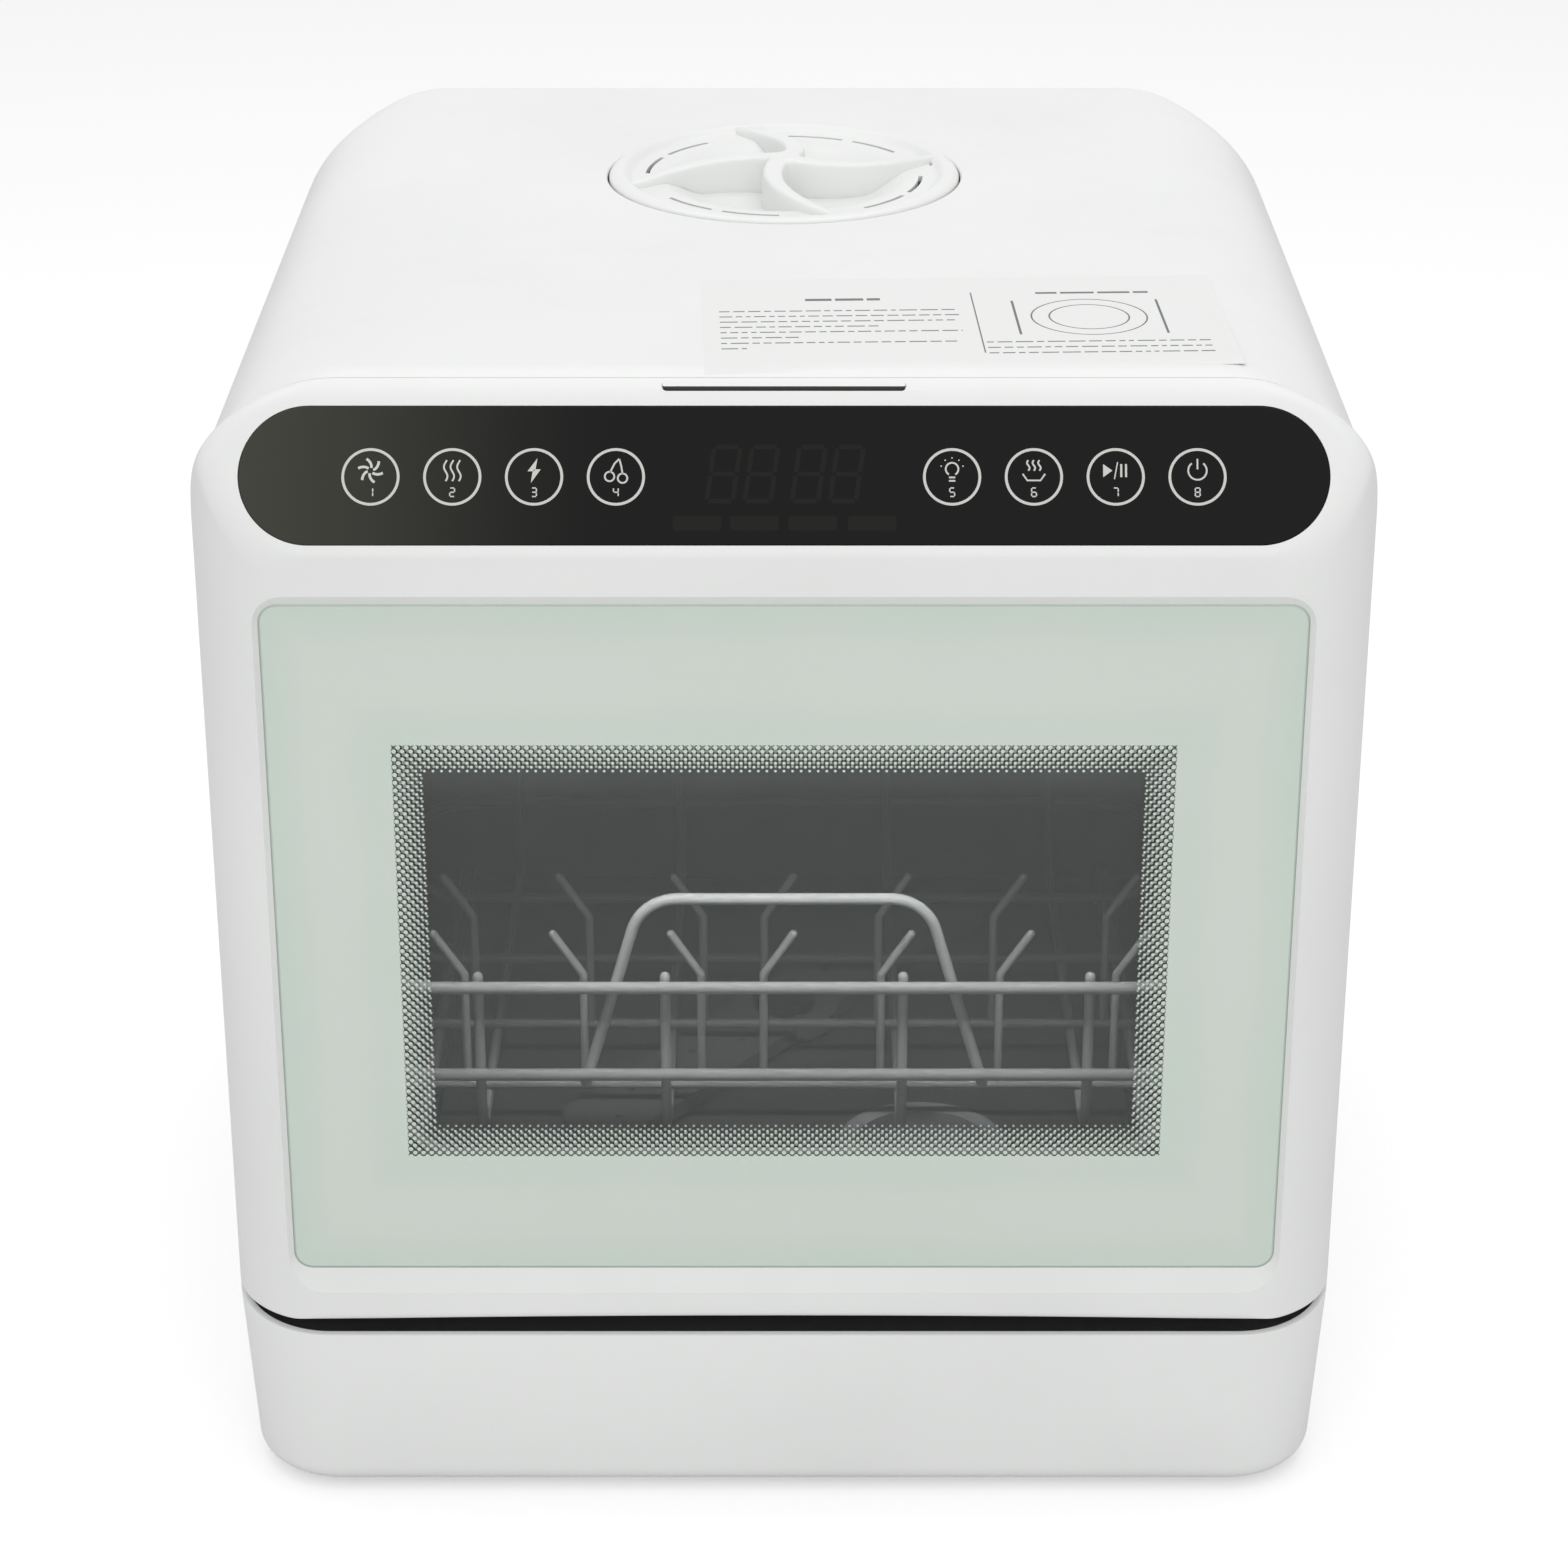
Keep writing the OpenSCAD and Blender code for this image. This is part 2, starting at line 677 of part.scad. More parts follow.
module door_inner_panel() color("gainsboro") from_front() difference() {
    union() {
        intersection() {
            door_block(door_wall + 0.1, 0);
            along_y(inner_y, door_t) translate([-body_w / 2, 0]) square([body_w, body_h]);
        }
        along_y(inner_y, land_y) mouth2d(seal_gap + seal_w + 4, tub_lip);
        for (s = [-1, 1])
            translate([s * bar_l / 4 - 5, bar_depth - 5, spring_low - 2])
                cube([10, inner_y - bar_depth + 6, 2]);
        for (s = [-1, 1])
            translate([s * (hook_w / 2 + 3) - 2.5, hook_y - 3, hook_z - 4])
                cube([5, inner_y - hook_y + 4, 7]);
    }
    bar_slot(spring_low);
    translate([0, hook_y, hook_z]) rod_x(2.02, -20, 20);
    along_y(inner_y - 5, land_y + 5) translate([0, port_z]) round_rect(port_w, port_h, port_r);
    translate([-hook_w / 2 - 2, inner_y - 1, tub_ceiling + 9.4]) cube([hook_w + 4, 10, 14]);
    hinge_spots() translate([-arm_w / 2 - gap, 10, -hinge_rise - 1])
        cube([arm_w + 2 * gap, door_t, hinge_rise + 5.4]);
    for (p = door_screw_spots)
        translate([p[0], 0, p[1]]) rod_y(1.5, inner_y - 1, door_t + 1);
}

door_screw_spots = [
    for (s = [-1, 1], z = [45.5, 145.5, 245.5]) [s * (body_w / 2 - 13), hinge_z + z]
];

module door_screws() color("silver") from_front()
    for (p = door_screw_spots)
        translate([p[0], 0, p[1]]) difference() {
            union() {
                rod_y(1.5, inner_y - 6, door_t);
                rod_y(3, door_t, door_t + 1.8);
            }
            translate([-0.4, door_t + 1, -1.6]) cube([0.8, 2, 3.2]);
            translate([-1.6, door_t + 1, -0.4]) cube([3.2, 2, 0.8]);
        }

module window2d(grow) translate([0, port_z])
    round_rect(port_w + 2 * grow, port_h + 2 * grow, port_r + grow);

module window_seal() color("dimgray") from_front()
    along_y(inner_y - 1, inner_y) difference() {
        window2d(6);
        window2d(1);
    }

module inner_window() color("lightcyan", 0.4) from_front()
    along_y(inner_y - 1 - inner_glass_t, inner_y - 1) window2d(6);

module control_lens() color("black") from_front() on_brow() along_y(0, lens_t) lens2d(0);

key_x = [for (s = [-1, 1], k = [0 : keys_per_side - 1]) s * (key_first + k * key_pitch)];

module control_board() color("darkgreen") from_front() on_brow()
    along_y(board_y, board_y + board_t) translate([0, board_rise]) square([board_l, board_h], center = true);

module display_module() color("black") from_front() on_brow()
    along_y(lens_t, board_y) translate([0, board_rise]) square([64, board_h - 4], center = true);

module touch_springs() color("silver") from_front() on_brow()
    for (x = key_x)
        translate([x, 0, lens_rise]) difference() {
            rod_y(4, lens_t, board_y);
            rod_y(3.2, lens_t + 1, board_y - 1);
        }

module hinge_brackets() color("silver") from_front()
    hinge_spots() difference() {
        union() {
            rod_x(boss_r, -arm_w / 2, arm_w / 2);
            along_x(arm_w) polygon([
                [0, -3.1], [41 - hinge_depth, -3.1], [41 - hinge_depth, chassis_top - hinge_z],
                [52 - hinge_depth, chassis_top - hinge_z], [52 - hinge_depth, 3.7], [0, 3.7]
            ]);
            translate([-10, 42 - hinge_depth, chassis_top - hinge_z]) cube([20, 26, 2.4]);
        }
        rod_x(hinge_pin_r + fit, -arm_w, arm_w);
        for (s = [-1, 1])
            translate([s * 6.5, 62 - hinge_depth, chassis_top - hinge_z - 1]) cylinder(r = 1.8, h = 5);
    }

module hinge_pins() color("silver") from_front()
    hinge_spots() rod_x(hinge_pin_r, -arm_w / 2 - ear_w, arm_w / 2 + ear_w);

bar_low = hook_top + gap;                    // lower edge of the release bar

module release_bar() color("white") from_front() difference() {
    intersection() {
        along_x(bar_l) side2d(0.5);
        translate([-bar_l / 2, bar_depth - bar_t / 2, bar_low]) cube([bar_l, bar_t, body_h]);
    }
    for (s = [-1, 1])
        translate([s * bar_l / 4 - 14, 0, bar_low - 1]) cube([28, body_d, spring_top - bar_low + 1]);
    translate([-7, 0, bar_low - 1]) cube([14, bar_depth + 0.2, 4]);
}

spring_low = bar_low - bar_travel - 1;
spring_top = hook_top + 12;
spring_r = 2.2;                              // middle radius of a release spring
spring_wire = 0.45;
spring_turns = 6;
wire_sides = 8;
turn_steps = 14;

// One point of a helix ring: step i along the wire, corner j round it.
function coil_point(i, j) =
    let (turn = 360 * i / turn_steps,
         corner = 360 * j / wire_sides,
         reach = spring_r + spring_wire * cos(corner),
         rise = (spring_top - spring_low - 2 * spring_wire) * i / (spring_turns * turn_steps))
    [reach * cos(turn), reach * sin(turn), spring_low + spring_wire + rise + spring_wire * sin(corner)];

module coil_spring() {
    rings = spring_turns * turn_steps;
    points = [for (i = [0 : rings], j = [0 : wire_sides - 1]) coil_point(i, j)];
    sides = [
        for (i = [0 : rings - 1], j = [0 : wire_sides - 1])
            let (n = (j + 1) % wire_sides)
            [i * wire_sides + j, (i + 1) * wire_sides + j, (i + 1) * wire_sides + n, i * wire_sides + n]
    ];
    first = [for (j = [0 : wire_sides - 1]) j];
    last = [for (j = [wire_sides - 1 : -1 : 0]) rings * wire_sides + j];
    polyhedron(points, concat(sides, [first, last]));
}

module release_springs() color("silver") from_front()
    for (s = [-1, 1])
        translate([s * bar_l / 4, bar_depth - 1.2, 0]) coil_spring();

module latch_hook() color("dimgray") from_front() difference() {
    translate([0, hook_y, hook_z]) union() {
        rod_x(4.5, -hook_w / 2, hook_w / 2);
        along_x(hook_w) polygon([
            [0, -2], [tooth_y + 3.5 - hook_y, -2], [tooth_y + 3.5 - hook_y, 4.5],
            [tooth_y - hook_y, 6.5], [tooth_y - hook_y, 2.3], [0, 2.3]
        ]);
    }
    translate([0, hook_y, hook_z]) rod_x(2 + fit, -10, 10);
}

module latch_pin() color("silver") from_front()
    translate([0, hook_y, hook_z]) rod_x(2, -9, 9);

module latch_strike() color("silver") from_front()
    translate([-14, tub_y0 + tub_wall, hook_top + 0.6]) cube([28, strike_t, 14]);

module door_switch() color("black") from_front()
    translate([8, tub_y0 + tub_wall, hook_z - 10]) cube([20, 10, 10]);

// A rounded ring of wire in the XY plane.
module wire_ring(w, l, corner, r) {
    for (sx = [-1, 1])
        translate([sx * w / 2, l / 2, 0]) rod_y(r, corner - l / 2, l / 2 - corner);
    for (y = [0, l])
        translate([0, y, 0]) rod_x(r, corner - w / 2, w / 2 - corner);
    for (sx = [-1, 1], sy = [-1, 1])
        translate([sx * (w / 2 - corner), l / 2 + sy * (l / 2 - corner), 0])
            rotate(sx > 0 ? (sy > 0 ? 0 : -90) : (sy > 0 ? 90 : 180))
                rotate_extrude(angle = 90) translate([corner, 0]) circle(r);
}

// A U of wire in the XZ plane: floor at height 0, ends at height h.
module wire_u(w, h, corner, r) {
    rod_x(r, corner - w / 2, w / 2 - corner);
    for (s = [-1, 1]) {
        translate([s * w / 2, 0, corner]) cylinder(r = r, h = h - corner);
        translate([s * w / 2, 0, h]) sphere(r = r);
        translate([s * (w / 2 - corner), 0, corner])
            rotate([90, 0, 0]) rotate(s > 0 ? -90 : 180)
                rotate_extrude(angle = 90) translate([corner, 0]) circle(r);
    }
}

module basket_upper_rail() color("lightgray") from_front()
    translate([0, basket_front, rail_high]) wire_ring(basket_w, basket_l, rail_corner, rail_r);

module basket_lower_rail() color("lightgray") from_front()
    translate([0, basket_front, rail_low]) wire_ring(basket_w, basket_l, rail_corner, rail_r);

module basket_hoops() color("lightgray") from_front()
    for (x = hoop_x)
        translate([x, (hoop_y0 + hoop_y1) / 2, hoop_floor]) rotate(90)
            wire_u(hoop_y1 - hoop_y0, rail_high + 2.5 - hoop_floor, 14, hoop_r);

module basket_cross_hoops() color("lightgray") from_front()
    for (y = cross_y)
        translate([0, y, cross_floor])
            wire_u(basket_w - 2 * (rail_r + hoop_r), rail_high + 2.5 - cross_floor, 14, hoop_r);

module basket_runners() color("lightgray") from_front()
    for (s = [-1, 1])
        translate([s * runner_x, 0, cross_floor - hoop_r - rail_r])
            rod_y(rail_r, hoop_y0 + 8, hoop_y1 - 8);

module tine(side) {
    rise = tine_tip - tine_knee;
    cylinder(r = tine_r, h = tine_knee - cross_floor - hoop_r);
    translate([0, 0, tine_knee - cross_floor - hoop_r]) {
        sphere(r = tine_r);
        rotate([0, side * atan(tine_lean / rise), 0]) {
            cylinder(r = tine_r, h = norm([tine_lean, rise]) - tine_r);
            translate([0, 0, norm([tine_lean, rise]) - tine_r]) sphere(r = tine_r);
        }
    }
}

module tine_row(y)
    for (i = [0 : len(tine_x) - 1])
        translate([tine_x[i], y, cross_floor + hoop_r]) tine(tine_side[i]);

module basket_front_tines() color("lightgray") from_front() tine_row(cross_y[0]);

module basket_rear_tines() color("lightgray") from_front() tine_row(cross_y[1]);

handle_corner = 18;
handle_lean = 16;                            // slope of the handle's legs, in degrees

module basket_handle() color("lightgray") from_front() {
    turn = 90 - handle_lean;
    rise = handle_top - handle_foot;
    top_half = handle_w / 2 - rise * tan(handle_lean);
    cut = handle_corner * tan(turn / 2);
    leg = rise / cos(handle_lean) - cut;
    translate([0, basket_front + rail_r + handle_r, 0]) {
        translate([0, 0, handle_top]) rod_x(handle_r, cut - top_half, top_half - cut);
        for (s = [-1, 1]) {
            translate([s * handle_w / 2, 0, handle_foot]) rotate([0, -s * handle_lean, 0]) {
                cylinder(r = handle_r, h = leg);
                sphere(r = handle_r);
            }
            translate([s * (top_half - cut), 0, handle_top - handle_corner])
                rotate([90, 0, 0]) rotate(s > 0 ? handle_lean : 90)
                    rotate_extrude(angle = turn) translate([handle_corner, 0]) circle(handle_r);
        }
    }
}

module at_hub(z) translate([0, tub_mid_y, z]) children();

module spray_arm() color("silver") from_front() at_hub(arm_z) rotate(arm_angle) difference() {
    union() {
        linear_extrude(arm_t) stadium(2 * arm_half, 2 * arm_r);
        cylinder(r = arm_r + 5, h = arm_t);
    }
    translate([0, 0, -1]) cylinder(r = hub_r + fit, h = arm_t + 2);
    for (s = [-1, 1], d = [36 : 20 : arm_half - 15])
        translate([s * d, s * (d % 40 == 36 ? 5 : -5), arm_t - 2]) cylinder(r = 1.6, h = 3);
}

module arm_nut() color("dimgray") from_front() at_hub(arm_top) difference() {
    cylinder(r = 13, h = 4.5);
    for (a = [0 : 60 : 300])
        rotate(a) translate([14.5, 0, -1]) cylinder(r = 3, h = 7);
}

module spray_hub() color("silver") from_front() at_hub(0) difference() {
    union() {
        translate([0, 0, tub_floor]) cylinder(r = hub_r + 9, h = 2.4);
        translate([0, 0, tub_floor + 2.4]) cylinder(r = hub_r, h = arm_top - gap - tub_floor - 2.4);
        translate([0, 0, tub_floor - 10]) cylinder(r = hub_r, h = 10);
    }
    translate([0, 0, tub_floor - 11]) cylinder(r = hub_bore, h = arm_t + 30);
}

module riser_pipe() color("gray") from_front() at_hub(0) difference() {
    translate([0, 0, pump_top - pump_h / 2 - 12])
        cylinder(r = riser_r, h = tub_floor - pump_top + pump_h / 2 + 12);
    translate([0, 0, pump_top - pump_h / 2 - 10]) cylinder(r = hub_r, h = 200);
}

pump_turn = atan2(tub_mid_y - filter_depth, -filter_x);
pump_reach = norm([filter_x, tub_mid_y - filter_depth]);

module at_pump(z) translate([filter_x, filter_depth, z]) rotate(pump_turn) children();

module flow_heater() color("silver") from_front() at_pump(pump_top - pump_h / 2) difference() {
    union() {
        rod_x(7, pump_r, pump_reach - riser_r);
        rod_x(11, pump_r + 8, pump_reach - riser_r - 8);
    }
    rod_x(5, pump_r - 1, pump_reach);
}

module filter_cup() color("gray") from_front() translate([filter_x, filter_depth, 0]) difference() {
    union() {
        translate([0, 0, tub_floor + gap]) cylinder(r = filter_r, h = 1.8);
        translate([0, 0, sump_floor + sump_wall + 1])
            cylinder(r = filter_r - 5, h = tub_floor + gap - sump_floor - sump_wall - 1);
    }
    difference() {
        translate([0, 0, sump_floor + sump_wall + 2.5]) cylinder(r = filter_r - 7, h = 60);
        translate([-filter_r, -2, tub_floor - 8]) cube([2 * filter_r, 4, 9]);
    }
}

module sump() color("gray") from_front() translate([filter_x, filter_depth, 0]) difference() {
    union() {
        translate([0, 0, sump_floor]) cylinder(r = sump_r, h = tub_floor - tub_wall - sump_floor);
        translate([0, 0, pump_top]) cylinder(r = 10, h = sump_floor - pump_top);
        translate([0, 0, pipe_z]) rod_x(hose_r, sump_r - 2, drain_x - filter_x - 18);
    }
    translate([0, 0, sump_floor + sump_wall]) cylinder(r = sump_r - sump_wall, h = 60);
    translate([0, 0, pump_top - 1]) cylinder(r = 7, h = 40);
    translate([0, 0, pipe_z]) rod_x(hose_r - 2, 0, drain_x);
    translate([0, 0, pipe_z]) rod_y(hose_r - 2, 0, sump_r + 2);
}

module wash_pump_housing() color("dimgray") from_front() at_pump(motor_top) difference() {
    cylinder(r = pump_r, h = pump_h);
    translate([0, 0, 2.5]) cylinder(r = pump_r - 3, h = pump_h - 5);
    translate([0, 0, -1]) cylinder(r = shaft_r + fit, h = 10);
    translate([0, 0, 5]) cylinder(r = 7, h = pump_h);
    translate([0, 0, pump_h / 2]) rod_x(5, 0, pump_r + 5);
}

module blades(count, r0, r1, h, t)
    for (a = [0 : 360 / count : 359])
        rotate(a) translate([r0, -t / 2, 0]) cube([r1 - r0, t, h]);

module wash_impeller() color("black") from_front() at_pump(motor_top) {
    translate([0, 0, 4]) cylinder(r = impeller_r, h = 2);
    translate([0, 0, 6]) cylinder(r = 6, h = 9);
    translate([0, 0, 6]) blades(6, 4, impeller_r - 1, 9, 2);
    translate([0, 0, -16]) cylinder(r = shaft_r, h = 20);
}

module wash_motor() color("silver") from_front() at_pump(base_floor) difference() {
    cylinder(r = 24, h = motor_top - base_floor);
    translate([0, 0, motor_top - base_floor - 20]) cylinder(r = shaft_r + fit, h = 30);
}

module at_drain() translate([drain_x, filter_depth, pipe_z]) children();

module drain_pump() color("dimgray") from_front() at_drain() difference() {
    union() {
        rod_x(drain_pump_r, -18, 40);
        rod_y(hose_r, 0, drain_pump_r + 12);
    }
    rod_x(drain_pump_r - 2.5, -15.5, 15.5);
    rod_x(1.5 + fit, 0, 30);
    rod_x(hose_r - 2, -30, 0);
    rod_y(hose_r - 2, 0, drain_pump_r + 20);
}

module drain_impeller() color("black") from_front() at_drain() {
    rod_x(1.5, -10, 28);
    rod_x(3, -9, 9);
    for (a = [0 : 60 : 300])
        rotate([a, 0, 0]) translate([-9, -0.8, 2]) cube([18, 1.6, drain_pump_r - 6]);
}

module tube_y(x, r, bore, y0, y1) translate([x, 0, pipe_z]) difference() {
    rod_y(r, y0, y1);
    rod_y(bore, y0 - 1, y1 + 1);
}

module drain_hose() color("gray") from_front()
    tube_y(drain_x, hose_r, hose_r - 2, filter_depth + drain_pump_r + 12, niche_y - panel_t - 4);

module drain_connector() color("gray") from_front() difference() {
    union() {
        translate([drain_x, 0, pipe_z]) rod_y(hose_r, niche_y - panel_t - 4, body_d - 3);
        translate([drain_x, 0, pipe_z]) rod_y(hose_r + 4, niche_y, niche_y + 3);
        translate([drain_x, 0, pipe_z]) rod_y(hose_r + 4, niche_y - panel_t - 3, niche_y - panel_t);
    }
    translate([drain_x, 0, pipe_z]) rod_y(hose_r - 2, niche_y - 20, body_d);
}

valve_y = niche_y - panel_t - 36;

module feed_valve() color("whitesmoke") from_front() difference() {
    union() {
        translate([filter_x - 16, valve_y, chassis_top]) cube([32, 30, 30]);
        translate([filter_x, 0, pipe_z]) rod_y(hose_r, filter_depth + sump_r, valve_y);
        translate([filter_x, valve_y + 15, chassis_top + 30])
            cylinder(r = hose_r, h = tank_floor - chassis_top - 30);
    }
    translate([filter_x, 0, pipe_z]) rod_y(hose_r - 2, filter_depth + sump_r - 1, valve_y + 31);
    translate([filter_x, valve_y + 15, pipe_z]) cylinder(r = hose_r - 2, h = tank_floor);
}

module tap_connector() color("silver") from_front() translate([filter_x, 0, pipe_z]) difference() {
    union() {
        rod_y(hose_r, valve_y + 30, niche_y);
        rod_y(tap_r, niche_y, body_d - 4);
    }
    rod_y(hose_r - 2, valve_y + 29, body_d);
}

module cord_gland() color("black") from_front() translate([gland_x, 0, pipe_z]) difference() {
    union() {
        rod_y(11, body_d - panel_t - 3, body_d - panel_t);
        rod_y(8, body_d - panel_t, body_d);
    }
    rod_y(4, body_d - panel_t - 4, body_d + 1);
}

module water_tank() color("lightsteelblue", 0.6) from_front() difference() {
    union() {
        translate([-tank_w / 2, tank_y0, tank_floor]) cube([tank_w, tank_d, tank_top - tank_floor]);
        translate([0, neck_y, tank_top]) cylinder(r = 13, h = 3);
    }
    translate([tank_wall - tank_w / 2, tank_y0 + tank_wall, tank_floor + tank_wall])
        cube([tank_w - 2 * tank_wall, tank_d - 2 * tank_wall, tank_top - tank_floor - 2 * tank_wall]);
    translate([0, neck_y, tank_top - 10]) cylinder(r = 10.5, h = 20);
    translate([filter_x, valve_y + 15, tank_floor - 1]) cylinder(r = hose_r - 2, h = 10);
}

float_x = -tank_w / 2 + 30;

module tank_float() color("orange") from_front()
    translate([float_x, tank_y0 + tank_d / 2, tank_floor + tank_wall + gap])
        cylinder(r = 13, h = 16);

module fill_funnel() color("whitesmoke") from_front() translate([0, cap_depth, 0]) difference() {
    union() {
        translate([0, 0, funnel_floor]) cylinder(r = funnel_r, h = body_h - shell_wall - gap - funnel_floor);
        translate([0, neck_y - cap_depth, tank_top - 6]) cylinder(r = 10, h = funnel_floor - tank_top + 6);
    }
    translate([0, 0, funnel_floor + funnel_wall])
        cylinder(r = funnel_r - funnel_wall, h = ledge_top - 3 - funnel_floor - funnel_wall);
    translate([0, 0, ledge_top - 4]) cylinder(r = plug_r + 1, h = 20);
    translate([0, 0, ledge_top]) cylinder(r = funnel_r - funnel_wall, h = 20);
    translate([0, neck_y - cap_depth, tank_top - 7]) cylinder(r = 8, h = 20);
}

module cap_seal() color("dimgray") from_front() translate([0, cap_depth, ledge_top + gap])
    difference() {
        cylinder(r = cap_r - 0.5, h = seal_t);
        translate([0, 0, -1]) cylinder(r = plug_r + gap, h = seal_t + 2);
    }

fin_r = 56;                                  // radius of a fin's curve
fin_turn = 18;                               // direction of a fin's outer end
fin_base = bowl_z - 0.5;
slot_r = crest_r - 9.5;                      // middle radius of the slots
slot_w = 2.2;
slot_half = 12;                              // half of the angle of a slot

// Body of the cap: crest, slotted ring, bowl, and the skirt in the funnel's neck.
module cap_body() rotate_extrude() polygon([
    [0, bowl_z], [bowl_r, bowl_z], [ring_r, ring_z], [crest_r - 5, ring_z], [crest_r - 2, cap_top - 1],
    for (a = [90 : -15 : 0]) [crest_r + rim_w * cos(a), body_h + cap_rise * sin(a)],
    [cap_r, cap_low], [plug_r, cap_low], [plug_r, plug_z], [plug_r - cap_wall, plug_z],
    [plug_r - cap_wall, ring_z - cap_wall], [ring_r + 1, ring_z - cap_wall],
    [bowl_r + 1, bowl_z - cap_wall], [0, bowl_z - cap_wall]
]);

// Space under the fins' ridges, which fall from the middle to the crest.
module fin_room() rotate_extrude() polygon([
    [0, fin_base], [0, cap_top + hub_rise], [10, cap_top + hub_rise - 0.3],
    [crest_r - 1, cap_top - 0.5], [crest_r - 1, ring_z - 1], [ring_r, ring_z - 1], [bowl_r, fin_base]
]);

// One curved fin: an arc from the middle of the cap to its rim.
module cap_fin() intersection() {
    reach = crest_r / 2;
    along_z(fin_base, cap_top + hub_rise) intersection() {
        translate([reach, sqrt(fin_r * fin_r - reach * reach)]) difference() {
            circle(fin_r + fin_w / 2);
            circle(fin_r - fin_w / 2);
        }
        translate([0, -fin_r / 2]) square([cap_r, fin_r]);
    }
    fin_room();
}

// One slot, as an arc about the direction +X.
module cap_slot() along_z(ring_z - cap_wall - 1, cap_top) intersection() {
    difference() {
        circle(slot_r + slot_w / 2);
        circle(slot_r - slot_w / 2);
    }
    translate([0, -slot_r * tan(slot_half)]) square([cap_r, 2 * slot_r * tan(slot_half)]);
}

module fill_cap() color("white") from_front() translate([0, cap_depth, 0]) {
    difference() {
        cap_body();
        for (turn = [0 : 90 : 270], middle = [29, 58])
            rotate(turn + fin_turn + middle) cap_slot();
    }
    for (turn = [0 : 90 : 270])
        rotate(turn + fin_turn) cap_fin();
    along_z(fin_base, cap_top + hub_rise - 0.3) circle(7);
}

module blower_housing() color("dimgray") from_front() translate([blower_x, blower_y, blower_z])
    difference() {
        union() {
            cylinder(r = blower_r, h = blower_h);
            translate([0, 0, -4]) cylinder(r = 12, h = 4);
            translate([0, 0, blower_h]) cylinder(r = 15, h = 12);
        }
        translate([0, 0, 2]) cylinder(r = blower_r - 2.5, h = blower_h - 4);
        translate([0, 0, -6]) cylinder(r = 10, h = 12);
        translate([0, 0, blower_h - 8]) cylinder(r = 2.5 + fit, h = 16);
    }

module blower_wheel() color("silver") from_front() translate([blower_x, blower_y, blower_z + 4]) {
    difference() {
        cylinder(r = wheel_r, h = 2);
        translate([0, 0, -1]) cylinder(r = 14, h = 4);
    }
    translate([0, 0, 2]) blades(24, wheel_r - 10, wheel_r - 1, 16, 1.2);
    translate([0, 0, 18]) cylinder(r = wheel_r, h = 1.6);
    translate([0, 0, 19.6]) cylinder(r = 2.5, h = 10);
}

board_w = 110;                               // power board under the tub
board_d = 140;
post_h = 8;

module power_board() color("darkgreen") from_front() translate([-body_w / 2 + 40, 148, base_floor]) {
    for (x = [6, board_w - 6], y = [6, board_d - 6])
        translate([x, y, 0]) cylinder(r = 3, h = post_h);
    translate([0, 0, post_h]) cube([board_w, board_d, board_t]);
    translate([12, 20, post_h + board_t]) cube([34, 30, 26]);
    for (y = [70, 92, 114])
        translate([30, y, post_h + board_t]) cylinder(r = 9, h = 24);
    translate([70, 30, post_h + board_t]) cube([14, 80, 20]);
}

base_tub();
rubber_feet();
gap_strip();
chassis_plate();
cabinet_wrap();
back_panel();
back_screws();
wash_tub();
tub_seal();
door_frame();
door_glass();
door_inner_panel();
inner_window();
window_seal();
door_screws();
control_lens();
control_board();
display_module();
touch_springs();
hinge_brackets();
hinge_pins();
release_bar();
release_springs();
latch_hook();
latch_pin();
latch_strike();
door_switch();
basket_upper_rail();
basket_lower_rail();
basket_hoops();
basket_cross_hoops();
basket_runners();
basket_front_tines();
basket_rear_tines();
basket_handle();
spray_arm();
arm_nut();
spray_hub();
riser_pipe();
flow_heater();
filter_cup();
sump();
wash_pump_housing();
wash_impeller();
wash_motor();
drain_pump();
drain_impeller();
drain_hose();
drain_connector();
feed_valve();
tap_connector();
cord_gland();
water_tank();
tank_float();
fill_funnel();
fill_cap();
cap_seal();
blower_housing();
blower_wheel();
power_board();
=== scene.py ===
"""Looks of a countertop dishwasher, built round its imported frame.

Every length is in metres, in the frame of the CAD model: X to the right, Y from the door to the
back wall, Z up. A depth is counted from the front face of the door, a height from the table.
"""

from __future__ import annotations

import json
import logging
import math
import random
from collections.abc import Callable, Iterable, Sequence
from dataclasses import dataclass
from enum import Enum

